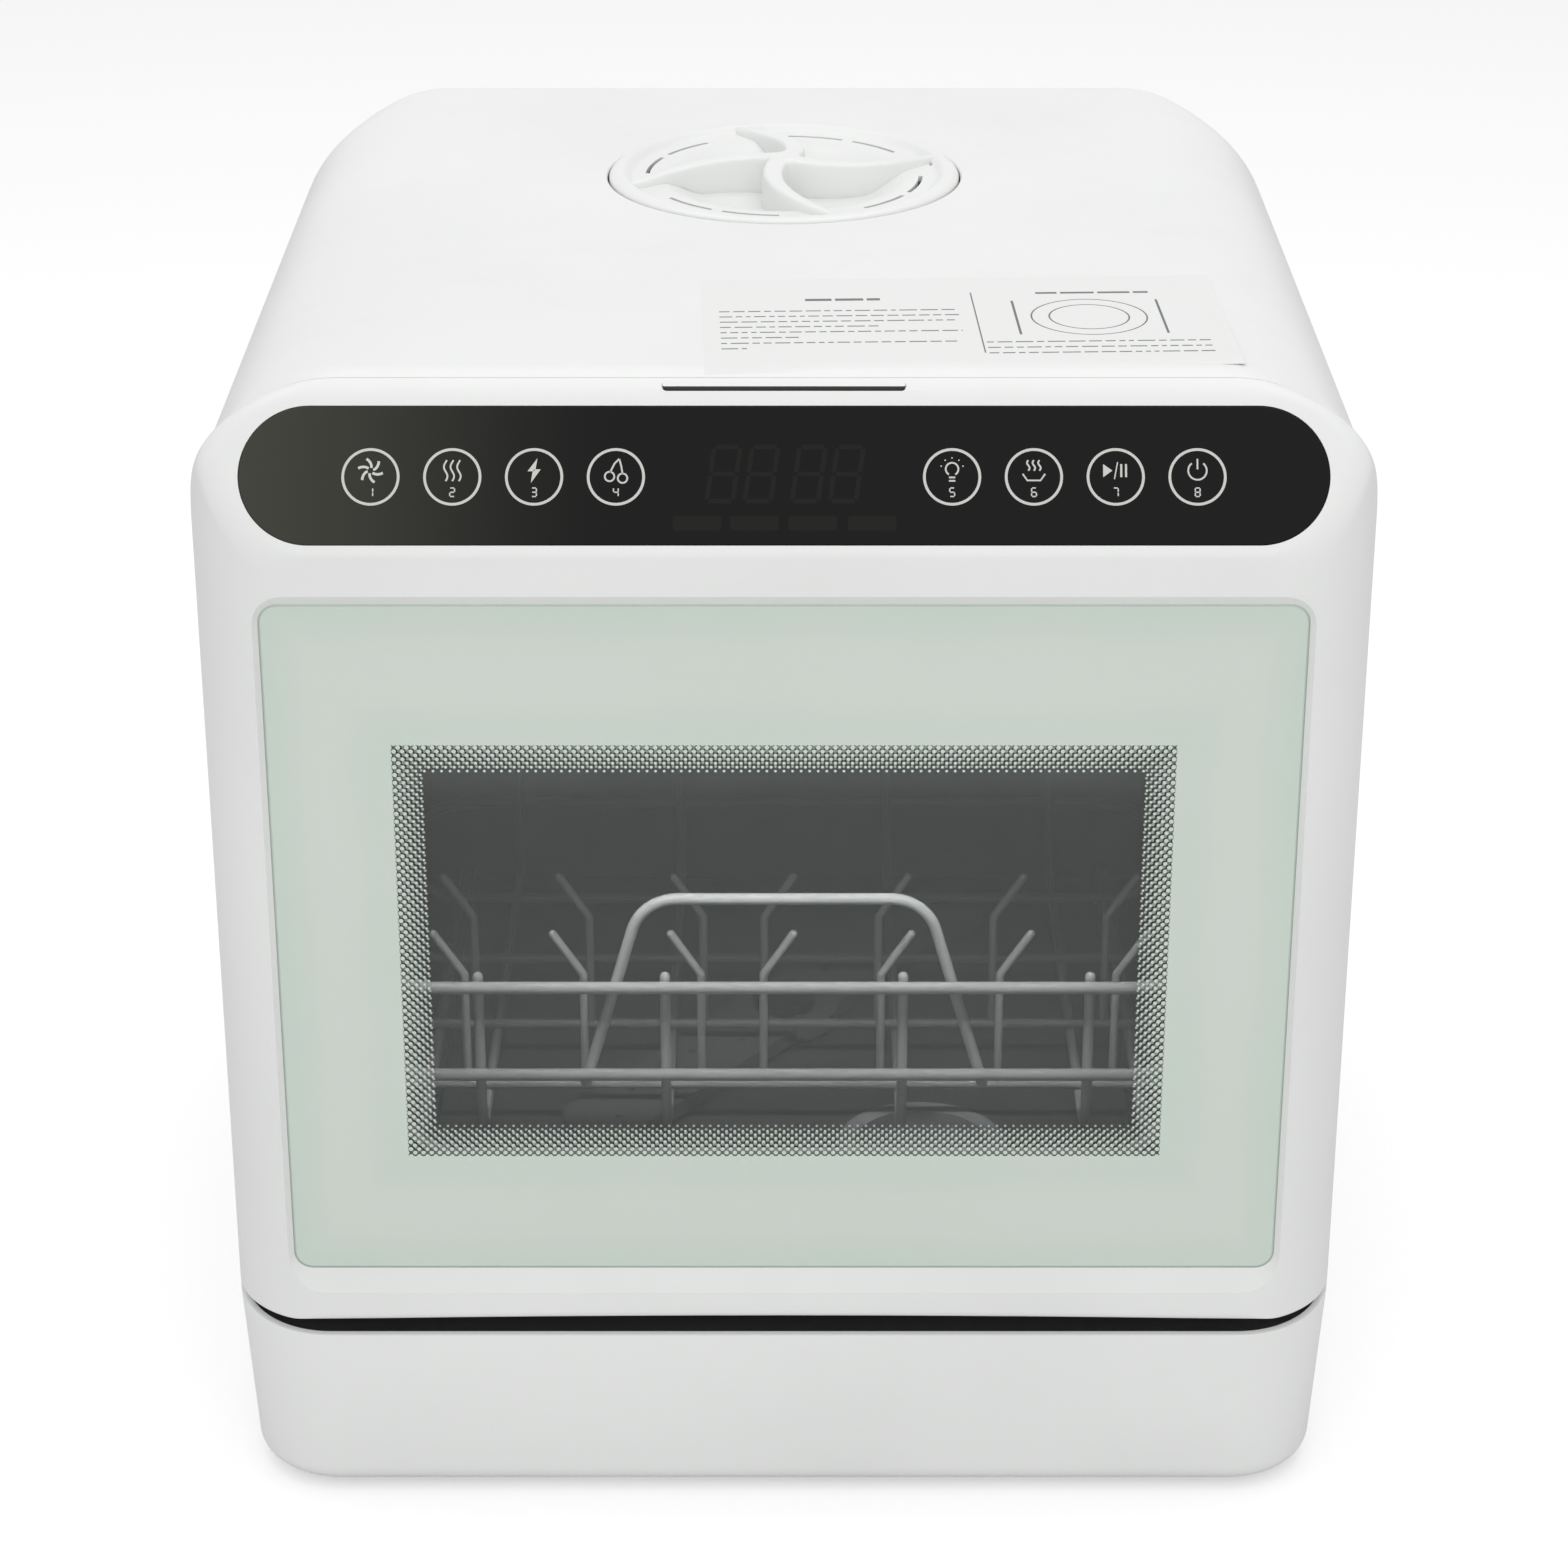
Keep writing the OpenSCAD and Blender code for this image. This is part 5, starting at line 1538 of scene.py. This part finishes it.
@dataclass
class Base:
    """The base tub, which leans in towards the table under a sloping rim."""

    form: Form
    shell: bpy.types.Material
    foot: float = 2.0 * MM
    front_high: float = 73.0 * MM
    side_high: float = 76.7 * MM
    taper: float = 4.5 * MM
    edge_r: float = 10.0 * MM
    sole: float = 20.0 * MM
    rim_r: float = 0.6 * MM
    wall: float = 2.6 * MM

    def _ring(self, inset: float, height: float, rim: bool = False) -> Ring:
        """Makes a ring of the base in plan.

        Args:
            inset: How far it lies inside the body's plan.
            height: Its height.
            rim: Whether it follows the rim, which drops towards the front.

        Returns:
            The ring.
        """
        form = self.form
        front, back = form.front_corner_r - inset, form.back_corner_r - inset
        flat = outline(-form.half + inset, form.half - inset, inset, form.depth - inset,
                       [front, back, back, front], steps=20, straight=4)
        slope = (self.side_high - self.front_high) / form.front_corner_r
        points = []
        for x, p in flat:
            drop = slope * max(0.0, form.front_corner_r - p) if rim else 0.0
            points.append(Vector((x, form.front + p, height - drop)))
        return points

    def _tub(self) -> bpy.types.Object:
        """Builds the tub with its round lower edge and open top.

        Returns:
            The piece.
        """
        lean = math.atan(self.taper / (self.side_high - self.foot))
        foot_in = self.taper + self.edge_r * (1 / math.cos(lean) - math.tan(lean))
        rings = [self._ring(foot_in + self.sole, self.foot)]
        steps = 8
        for turn in range(steps + 1):
            angle = (math.pi / 2 - lean) * turn / steps
            rings.append(self._ring(foot_in - self.edge_r * math.sin(angle),
                                    self.foot + self.edge_r * (1 - math.cos(angle))))
        soft = 0.3 * self.rim_r
        rings += [self._ring(0.0, self.side_high - self.rim_r, rim=True),
                  self._ring(soft, self.side_high - soft, rim=True),
                  self._ring(self.rim_r, self.side_high, rim=True),
                  self._ring(self.wall, self.side_high, rim=True),
                  self._ring(self.taper + self.wall, self.foot + self.edge_r),
                  self._ring(foot_in + self.wall, self.foot + self.wall)]
        return Shape().loft(rings).object("base_shell")

    def build(self) -> None:
        """Builds and dresses the base."""
        dress(self._tub(), self.shell, "cabinet", Material.SHELL, "base_tub")


@dataclass
class FillCap:
    """The round cap over the filling funnel: a raised rim, a slotted ring, a bowl and four fins."""

    centre: Vector
    radius: float
    top: float
    shell: bpy.types.Material
    edge: float = 0.6 * MM
    rise: float = 2.6 * MM
    lean: float = 1.35 * MM
    rim: float = 5.5 * MM
    lip: float = 4.5 * MM
    ring: float = -0.2 * MM
    ring_width: float = 14.0 * MM
    bowl: float = -7.4 * MM
    bowl_run: float = 20.0 * MM
    wall: float = 2.4 * MM
    seat: float = -5.2 * MM
    skirt: float = 7.0 * MM
    skirt_low: float = -15.0 * MM
    slot_r: float = 55.5 * MM
    slot_width: float = 1.7 * MM
    slot_half: float = math.radians(12.0)
    slot_turns: Pair = (math.radians(29.0), math.radians(58.0))
    mark_r: float = 61.7 * MM
    mark_width: float = 1.2 * MM
    mark_turn: float = math.radians(14.0)
    mark_half: float = math.radians(2.2)
    cut_low: float = -6.0 * MM
    cut_high: float = 4.0 * MM
    fins: int = 4
    fin_turn: float = math.radians(18.0)
    fin_sweep: float = 0.86
    fin_bend: float = 1.3
    fin_start: float = 1.0 * MM
    fin_wide: float = 9.0 * MM
    fin_taper: float = 3.0 * MM
    fin_flare: float = 0.8 * MM
    fin_r: float = 1.2 * MM
    hub: float = 8.0 * MM
    hub_r: float = 7.0 * MM
    hub_edge: float = 1.5 * MM
    tip: float = 2.3 * MM
    voxel: float = 0.7 * MM

    def _at(self, radius: float, angle: float, height: float) -> Vector:
        """Finds a point of the cap, which leans up towards the back inside its outer edge.

        Args:
            radius: Distance from the axis.
            angle: Direction from the axis.
            height: Height over the flat top, before the lean.

        Returns:
            The point in the frame.
        """
        back = radius * math.sin(angle)
        lean = self.lean * back / self.radius * min(1.0, (self.radius - radius) / self.rim)
        return Vector((self.centre.x + radius * math.cos(angle), self.centre.y + back,
                       self.top + height + lean))

    def _level(self, radius: float) -> float:
        """Returns the height of the ring and the bowl at a radius."""
        inner = self.radius - self.rim - self.ring_width
        return blend(self.ring, self.bowl, (inner - radius) / self.bowl_run)

    def _turned(self, shape: Shape, profile: Sequence[Pair], steps: int = 128) -> Shape:
        """Turns a profile round the cap's axis.

        Args:
            shape: The shape that it is added to.
            profile: Radii and heights.
            steps: Points on each ring.

        Returns:
            The shape.
        """
        return shape.loft([[self._at(r, math.tau * i / steps, z) for i in range(steps)]
                           for r, z in profile])

    def _arc_slot(self, radius: float, width: float, middle: float,
                  half: float) -> bpy.types.Object:
        """Makes the cutter of a slot along an arc about the axis.

        Args:
            radius: Radius of its middle line.
            width: Its width.
            middle: Direction of its middle.
            half: Half the angle that it spans.

        Returns:
            The cutter.
        """
        turns = [middle + half * (i / 8 - 1) for i in range(17)]
        drawing = [(radius + width / 2, a) for a in turns]
        drawing += [(radius - width / 2, a) for a in reversed(turns)]
        return Shape().slab(drawing, self._at, self.cut_low, self.cut_high).object("slot")

    def _plate(self) -> bpy.types.Object:
        """Builds rim, ring, bowl and skirt in one turned piece, with its slots.

        Returns:
            The piece.
        """
        crest = self.radius - self.rim
        inner = crest - self.ring_width
        neck = self.radius - self.skirt
        quarter = [math.pi / 2 * i / 8 for i in range(9)]
        over = self.rise + self.edge
        outer = [(crest + self.rim * math.cos(a), over * math.sin(a) - self.edge)
                 for a in quarter]
        lip = [(crest - self.lip * i / 8, blend(self.rise, self.ring, i / 8)) for i in range(1, 9)]
        radii = [inner - self.bowl_run * i / 10 for i in range(11)] + [1.0 * MM]
        bowl = [(r, self._level(r)) for r in radii]
        under = [(r, self._level(r) - self.wall) for r in reversed(radii)]
        inside = neck - self.wall
        profile = [*under, (inside, self.ring - self.wall), (inside, self.skirt_low),
                   (neck, self.skirt_low), (neck, self.seat), (self.radius, self.seat),
                   *outer, *lip, *bowl]
        plate = self._turned(Shape(), profile).object("fill_cap_plate")
        cutters = [self._arc_slot(self.mark_r, self.mark_width, self.mark_turn, self.mark_half)]
        for number in range(self.fins):
            fin = math.tau * number / self.fins + self.fin_turn
            for middle in self.slot_turns:
                cutters.append(self._arc_slot(self.slot_r, self.slot_width, fin + middle,
                                              self.slot_half))
        carve(plate, cutters)
        return plate

    def _fin(self, shape: Shape, tip: float) -> None:
        """Adds one fin, which sweeps from the hub to the rim.

        Args:
            shape: The shape that it is added to.
            tip: Direction of its outer end.
        """
        steps = 26
        step = 0.5 * MM
        reach = self.radius - self.rim - step
        rings = []
        for i in range(steps + 1):
            t = i / steps
            radius = self.fin_start + (reach - self.fin_start) * t
            here, there = (self._at(r, tip - self._sweep(r / reach), 0.0)
                           for r in (radius, radius + step))
            along = (there - here).normalized()
            height = self.hub + (self.tip - self.hub) * t
            half = (self.fin_wide - self.fin_taper * (t + t * t)) / 2
            soft = min(self.fin_r, 0.7 * half)
            foot = self._level(radius) - self.wall / 2
            side = [(-half - self.fin_flare, foot), (-half, height - soft),
                    (-half + 0.3 * soft, height - 0.3 * soft), (-half + soft, height)]
            section = side + [(-a, z) for a, z in reversed(side)]
            rings.append([Vector((here.x - along.y * a, here.y + along.x * a, here.z + z))
                          for a, z in section])
        shape.loft(rings)

    def _sweep(self, share: float) -> float:
        """Returns how far a fin lags behind its tip at a share of its reach."""
        return self.fin_sweep * max(0.0, 1 - share) ** self.fin_bend

    def _star(self) -> bpy.types.Object:
        """Builds the four fins and their hub, melted into one soft form.

        Returns:
            The piece.
        """
        shape = Shape()
        foot = self.bowl - self.wall / 2
        edge = self.hub_edge
        self._turned(shape, [(self.hub_r + MM, foot), (self.hub_r, self.hub - edge),
                             (self.hub_r - edge, self.hub), (0.5 * MM, self.hub)], steps=48)
        for number in range(self.fins):
            self._fin(shape, math.tau * number / self.fins + self.fin_turn)
        star = shape.object("fill_cap_fins")
        melt = star.modifiers.new("melt", "REMESH")
        melt.mode = "VOXEL"
        melt.voxel_size = self.voxel
        soft = star.modifiers.new("soft", "SMOOTH")
        soft.factor = 0.5
        soft.iterations = 8
        apply(star)
        tidy(star, 60.0)
        return star

    def build(self) -> None:
        """Builds and dresses the cap."""
        dress(self._plate(), self.shell, "fill_cap", Material.SHELL, "fill_cap")
        dress(self._star(), self.shell, "fill_cap", Material.SHELL)


@dataclass
class Label:
    """The paper label on the top: lines of unreadable dashes and a plain plate drawing.

    What is printed is laid out in millimetres, a to the right and b to the back of its middle.
    """

    form: Form
    centre: Pair = (65.3 * MM, 91.3 * MM)
    size: Pair = (189.5 * MM, 105.0 * MM)
    turn: float = math.radians(1.95)
    under: float = 0.02 * MM
    lift: float = 0.12 * MM
    ink: float = 0.025 * MM
    seed: int = 11
    text: Colour = (0.15, 0.16, 0.16)
    paper: Colour = (0.842, 0.85, 0.838)
    small: Pair = (1.6, 6.5)
    large: Pair = (7.0, 13.0)
    space: float = 1.3
    line: float = 1.0
    line_pitch: float = 6.2
    left: float = -88.5
    left_top: float = 13.2
    left_lines: tuple[float, ...] = (87.0, 87.0, 85.0, 57.0, 87.0, 28.0, 84.0, 9.0)
    left_title: tuple[float, ...] = (-56.7, 27.5, 26.5, 2.6)
    right: float = 6.0
    right_top: float = -25.5
    right_lines: tuple[float, ...] = (80.0, 80.0, 80.0)
    right_title: tuple[float, ...] = (28.5, 41.7, 32.2, 2.0)
    divider: float = 4.6
    divider_ends: Pair = (-37.6, 33.5)
    divider_line: float = 0.5
    plate: Pair = (45.5, 3.0)
    plate_radii: Pair = (21.0, 14.5)
    plate_line: float = 0.6
    bar_side: float = 26.5
    bar_half: float = 20.0
    bar_line: float = 0.9

    def _at(self, a: float, b: float, level: float) -> Vector:
        """Finds a point of the label.

        Args:
            a: Distance to the right of its middle.
            b: Distance to the back of its middle.
            level: Height over the top.

        Returns:
            The point in the frame.
        """
        x = self.centre[0] + a * math.cos(self.turn) - b * math.sin(self.turn)
        p = self.centre[1] + a * math.sin(self.turn) + b * math.cos(self.turn)
        return Vector((x, self.form.front + p, self.form.top_at(p) + level))

    def _sheet(self) -> bpy.types.Object:
        """Builds the paper as a thin sheet that follows the top, finest at the front.

        Returns:
            The piece.
        """
        half_w, half_d = self.size[0] / 2, self.size[1] / 2
        rows = []
        steps = 24
        for i in range(steps + 1):
            b = -half_d + self.size[1] * (i / steps) ** 1.5
            rows.append([self._at(-half_w, b, self.under), self._at(half_w, b, self.under),
                         self._at(half_w, b, self.lift), self._at(-half_w, b, self.lift)])
        return Shape().loft(rows).object("label_paper")

    def _stroke(self, shape: Shape, line: Sequence[Pair], width: float,
                closed: bool = False) -> None:
        """Prints a line on the paper.

        Args:
            shape: The drawing.
            line: Its points.
            width: Its width.
            closed: Whether its ends meet.
        """
        points = [(a * MM, b * MM) for a, b in line]
        for quad in ribbon(points, width * MM, closed):
            shape.slab(quad, self._at, self.lift, self.lift + self.ink)

    def _dashes(self, shape: Shape, row: Sequence[float], word: Pair,
                chance: random.Random) -> None:
        """Prints a row of dashes where a line of words would stand.

        Args:
            shape: The drawing.
            row: Its left end, its length, its place towards the back and its dashes' width.
            word: Shortest and longest dash.
            chance: Source of the dashes' lengths.
        """
        start, length, b, width = row
        end = start + length
        while start < end - 0.5:
            stop = min(end, start + chance.uniform(*word))
            self._stroke(shape, [(start, b), (stop, b)], width)
            start = stop + self.space

    def _print(self) -> bpy.types.Object:
        """Prints the rows, the divider and the drawing.

        Returns:
            The piece.
        """
        shape = Shape()
        chance = random.Random(self.seed)
        for title, left, top, lengths in (
                (self.left_title, self.left, self.left_top, self.left_lines),
                (self.right_title, self.right, self.right_top, self.right_lines)):
            self._dashes(shape, title, self.large, chance)
            for number, length in enumerate(lengths):
                row = (left, length, top - self.line_pitch * number, self.line)
                self._dashes(shape, row, self.small, chance)
        self._stroke(shape, [(self.divider, b) for b in self.divider_ends], self.divider_line)
        across, deep = self.plate
        for radius in self.plate_radii:
            self._stroke(shape, circle(radius, 48, self.plate), self.plate_line, closed=True)
        for side in (-1, 1):
            a = across + self.bar_side * side
            self._stroke(shape, [(a, deep - self.bar_half), (a, deep + self.bar_half)],
                         self.bar_line)
        return shape.object("label_print")

    def build(self) -> None:
        """Builds and dresses the label."""
        paper = Ink("label_paper", self.paper, 0.4).make()
        dress(self._sheet(), paper, "cabinet", Material.SHELL)
        dress(self._print(), Ink("label_ink", self.text).make(), "cabinet", Material.SHELL)


@dataclass
class Dressing:
    """Finishes of the CAD nodes that keep their shape."""

    nodes: dict[str, bpy.types.Object]

    def _use(self, material: bpy.types.Material, *names: str) -> None:
        """Puts one material on nodes.

        Args:
            material: The material.
            names: The nodes' names.
        """
        for name in names:
            node = self.nodes[name]
            node.data.materials.clear()
            node.data.materials.append(material)
            log.info("%s has the finish %s", name, material.name)

    def build(self, shell: bpy.types.Material) -> None:
        """Dresses every node that shows or could be looked at.

        Args:
            shell: The white plastic of the outer pieces.
        """
        self._use(shell, "feed_valve", "fill_funnel")
        self._use(MouldedPlastic("grey_panel", (0.60, 0.61, 0.61), 0.42).make(),
                  "back_panel", "door_inner_panel")
        # painted shade: the wash tub is coloured near black so that the chamber behind the glass
        # looks as dark as its shade
        self._use(MouldedPlastic("tub_painted_shade", (0.055, 0.058, 0.058), 0.38, 9e-6).make(),
                  "wash_tub")
        self._use(MouldedPlastic("grey_plastic", (0.28, 0.29, 0.30), 0.45).make(),
                  "filter_cup", "sump", "riser_pipe", "drain_hose", "drain_connector",
                  "wash_pump_housing", "drain_pump", "blower_housing")
        self._use(MouldedPlastic("black_plastic", (0.014, 0.014, 0.014), 0.5).make(),
                  "display_module", "latch_hook", "door_switch", "arm_nut",
                  "wash_impeller", "drain_impeller", "cord_gland")
        self._use(MouldedPlastic("strip_plastic", (0.05, 0.05, 0.05), 0.5).make(), "gap_strip")
        self._use(Rubber("grey_rubber", (0.10, 0.10, 0.105)).make(),
                  "rubber_feet", "tub_seal", "window_seal", "cap_seal")
        self._use(Metal("plated_steel").make(),
                  "back_screws", "door_screws", "touch_springs", "hinge_brackets", "hinge_pins",
                  "release_springs", "latch_pin", "latch_strike", "spray_hub", "tap_connector",
                  "flow_heater", "chassis_plate", "wash_motor", "blower_wheel")
        self._use(MouldedPlastic("arm_plastic", (0.085, 0.088, 0.09), 0.5).make(), "spray_arm")
        self._use(CoatedWire().make(),
                  "basket_upper_rail", "basket_lower_rail", "basket_hoops", "basket_cross_hoops",
                  "basket_runners", "basket_front_tines", "basket_rear_tines", "basket_handle")
        self._use(ClearGlass("inner_glass").make(), "inner_window")
        self._use(MouldedPlastic("tank_plastic", (0.62, 0.66, 0.66), 0.3).make(), "water_tank")
        self._use(MouldedPlastic("float_plastic", (0.75, 0.22, 0.03), 0.4).make(), "tank_float")
        self._use(MouldedPlastic("board_green", (0.02, 0.14, 0.05), 0.35).make(),
                  "control_board", "power_board")


@dataclass(frozen=True)
class Lamp:
    """A soft area lamp that shines from a place towards a target."""

    name: str
    place: tuple[float, float, float]
    target: tuple[float, float, float]
    size: Pair
    power: float
    spread: float = math.pi
    reflected: bool = True
    seen: bool = True

    def build(self) -> None:
        """Adds the lamp to the scene."""
        data = bpy.data.lights.new(self.name, "AREA")
        data.shape = "RECTANGLE"
        data.size, data.size_y = self.size
        data.energy = self.power
        data.spread = self.spread
        lamp = bpy.data.objects.new(self.name, data)
        lamp.location = self.place
        aim = Vector(self.target) - lamp.location
        lamp.rotation_euler = aim.to_track_quat("-Z", "Y").to_euler()
        lamp.visible_glossy = self.reflected
        lamp.visible_camera = self.seen
        bpy.context.scene.collection.objects.link(lamp)


@dataclass
class Studio:
    """A white room: a soft ceiling, a soft front light, a faint chamber light and the camera."""

    reach: float = 1.5059
    height: float = 0.8826
    pitch: float = 24.25
    lens: float = 91.3
    sensor: float = 36.0
    sky: float = 0.62
    floor_half: float = 6.0
    floor_colour: Colour = (0.8, 0.8, 0.8)
    floor_glow: float = 0.35
    lamps: tuple[Lamp, ...] = (
        Lamp("ceiling", (0.0, 0.2, 2.2), (0.0, 0.0, 0.3), (2.4, 2.0), 16.5),
        Lamp("front", (0.0, -2.6, 1.1), (0.0, 0.0, 0.2), (2.6, 1.4), 17.5, reflected=False),
        Lamp("chamber", (0.0, -0.187, 0.300), (0.0, -0.130, 0.175), (0.30, 0.02), 0.165,
             spread=math.radians(85.0), reflected=False, seen=False),
    )

    def _world(self) -> None:
        """Makes a world that is dimmer as a lamp than camera and reflections see it."""
        net = Net("room", world=True)
        camera, clear, glossy = (net.node("ShaderNodeLightPath", out=f"Is {name} Ray")
                                 for name in ("Camera", "Transmission", "Glossy"))
        shown = camera.high(clear).high(glossy)
        strength = self.sky + (1.0 - self.sky) * shown
        white = (1.0, 1.0, 1.0, 1.0)
        bpy.context.scene.world = net.end(
            net.node("ShaderNodeBackground", sockets={"Color": white, "Strength": strength}))

    def _floor(self) -> None:
        """Makes the floor, which is nearly as white as the backdrop and keeps the shadow."""
        half = self.floor_half
        shape = Shape()
        shape.faces.append(shape.ring([(-half, -half, 0), (half, -half, 0), (half, half, 0),
                                       (-half, half, 0)]))
        floor = shape.object("studio_floor")
        net = Net("floor_white")
        seen = net.node("ShaderNodeLightPath", out="Is Camera Ray")
        matt = net.node("ShaderNodeBsdfDiffuse", sockets={"Color": (*self.floor_colour, 1.0)})
        glow = net.node("ShaderNodeEmission", sockets={"Strength": seen * self.floor_glow})
        floor.data.materials.append(
            net.end(net.node("ShaderNodeAddShader", sockets={0: matt, 1: glow})))

    def _camera(self) -> None:
        """Sets up the camera, level from side to side and pitched down."""
        data = bpy.data.cameras.new("camera")
        data.lens = self.lens
        data.sensor_width = self.sensor
        data.sensor_fit = "HORIZONTAL"
        camera = bpy.data.objects.new("camera", data)
        camera.location = (0.0, -self.reach, self.height)
        camera.rotation_euler = (math.radians(90.0 - self.pitch), 0.0, 0.0)
        bpy.context.scene.collection.objects.link(camera)
        bpy.context.scene.camera = camera

    def build(self) -> None:
        """Sets up camera, world, floor and lamps."""
        bpy.context.scene.view_settings.view_transform = "Standard"
        self._camera()
        self._world()
        self._floor()
        for lamp in self.lamps:
            lamp.build()


def corners(box: Sequence[Sequence[float]]) -> list[list[float]]:
    """Returns a box as plain lists of numbers."""
    return [[float(c) for c in corner] for corner in box]


def main() -> None:
    """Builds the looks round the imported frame."""
    logging.basicConfig(level=logging.INFO, format="%(name)s: %(message)s")
    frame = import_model()
    wrap_low, wrap_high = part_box("cabinet_wrap")
    door_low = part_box("door_frame")[0]
    pin_low, pin_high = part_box("hinge_pins")
    cap_low, cap_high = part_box("fill_cap")
    panel_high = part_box("back_panel")[1]
    cap_r = (cap_high.x - cap_low.x) / 2
    print_room = 0.2 * MM
    seam = 0.25 * MM
    panel_gap = 0.3 * MM
    cap_gap = 0.75 * MM
    form = Form(front=door_low.y, half=wrap_high.x, height=wrap_high.z - print_room,
                depth=wrap_high.y - door_low.y)
    shell = MouldedPlastic("white_shell", (0.83, 0.84, 0.83), 0.32).make()
    Studio().build()
    Door(form, low=door_low.z, thick=wrap_low.y - seam - door_low.y, glass=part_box("door_glass"),
         hinge_z=(pin_low.z + pin_high.z) / 2, shell=shell).build()
    Brow(form, half=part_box("control_lens")[1].x).build()
    Cabinet(form, low=wrap_low.z, front=wrap_low.y - door_low.y,
            cap_depth=(cap_low.y + cap_high.y) / 2 - door_low.y, cap_hole=cap_r + cap_gap,
            panel_half=panel_high.x + panel_gap, panel_top=panel_high.z + panel_gap,
            shell=shell).build()
    Base(form, shell).build()
    FillCap((cap_low + cap_high) / 2, radius=cap_r, top=form.height, shell=shell).build()
    Label(form).build()
    Dressing(frame["nodes"]).build(shell)


if __name__ == "__main__":
    main()
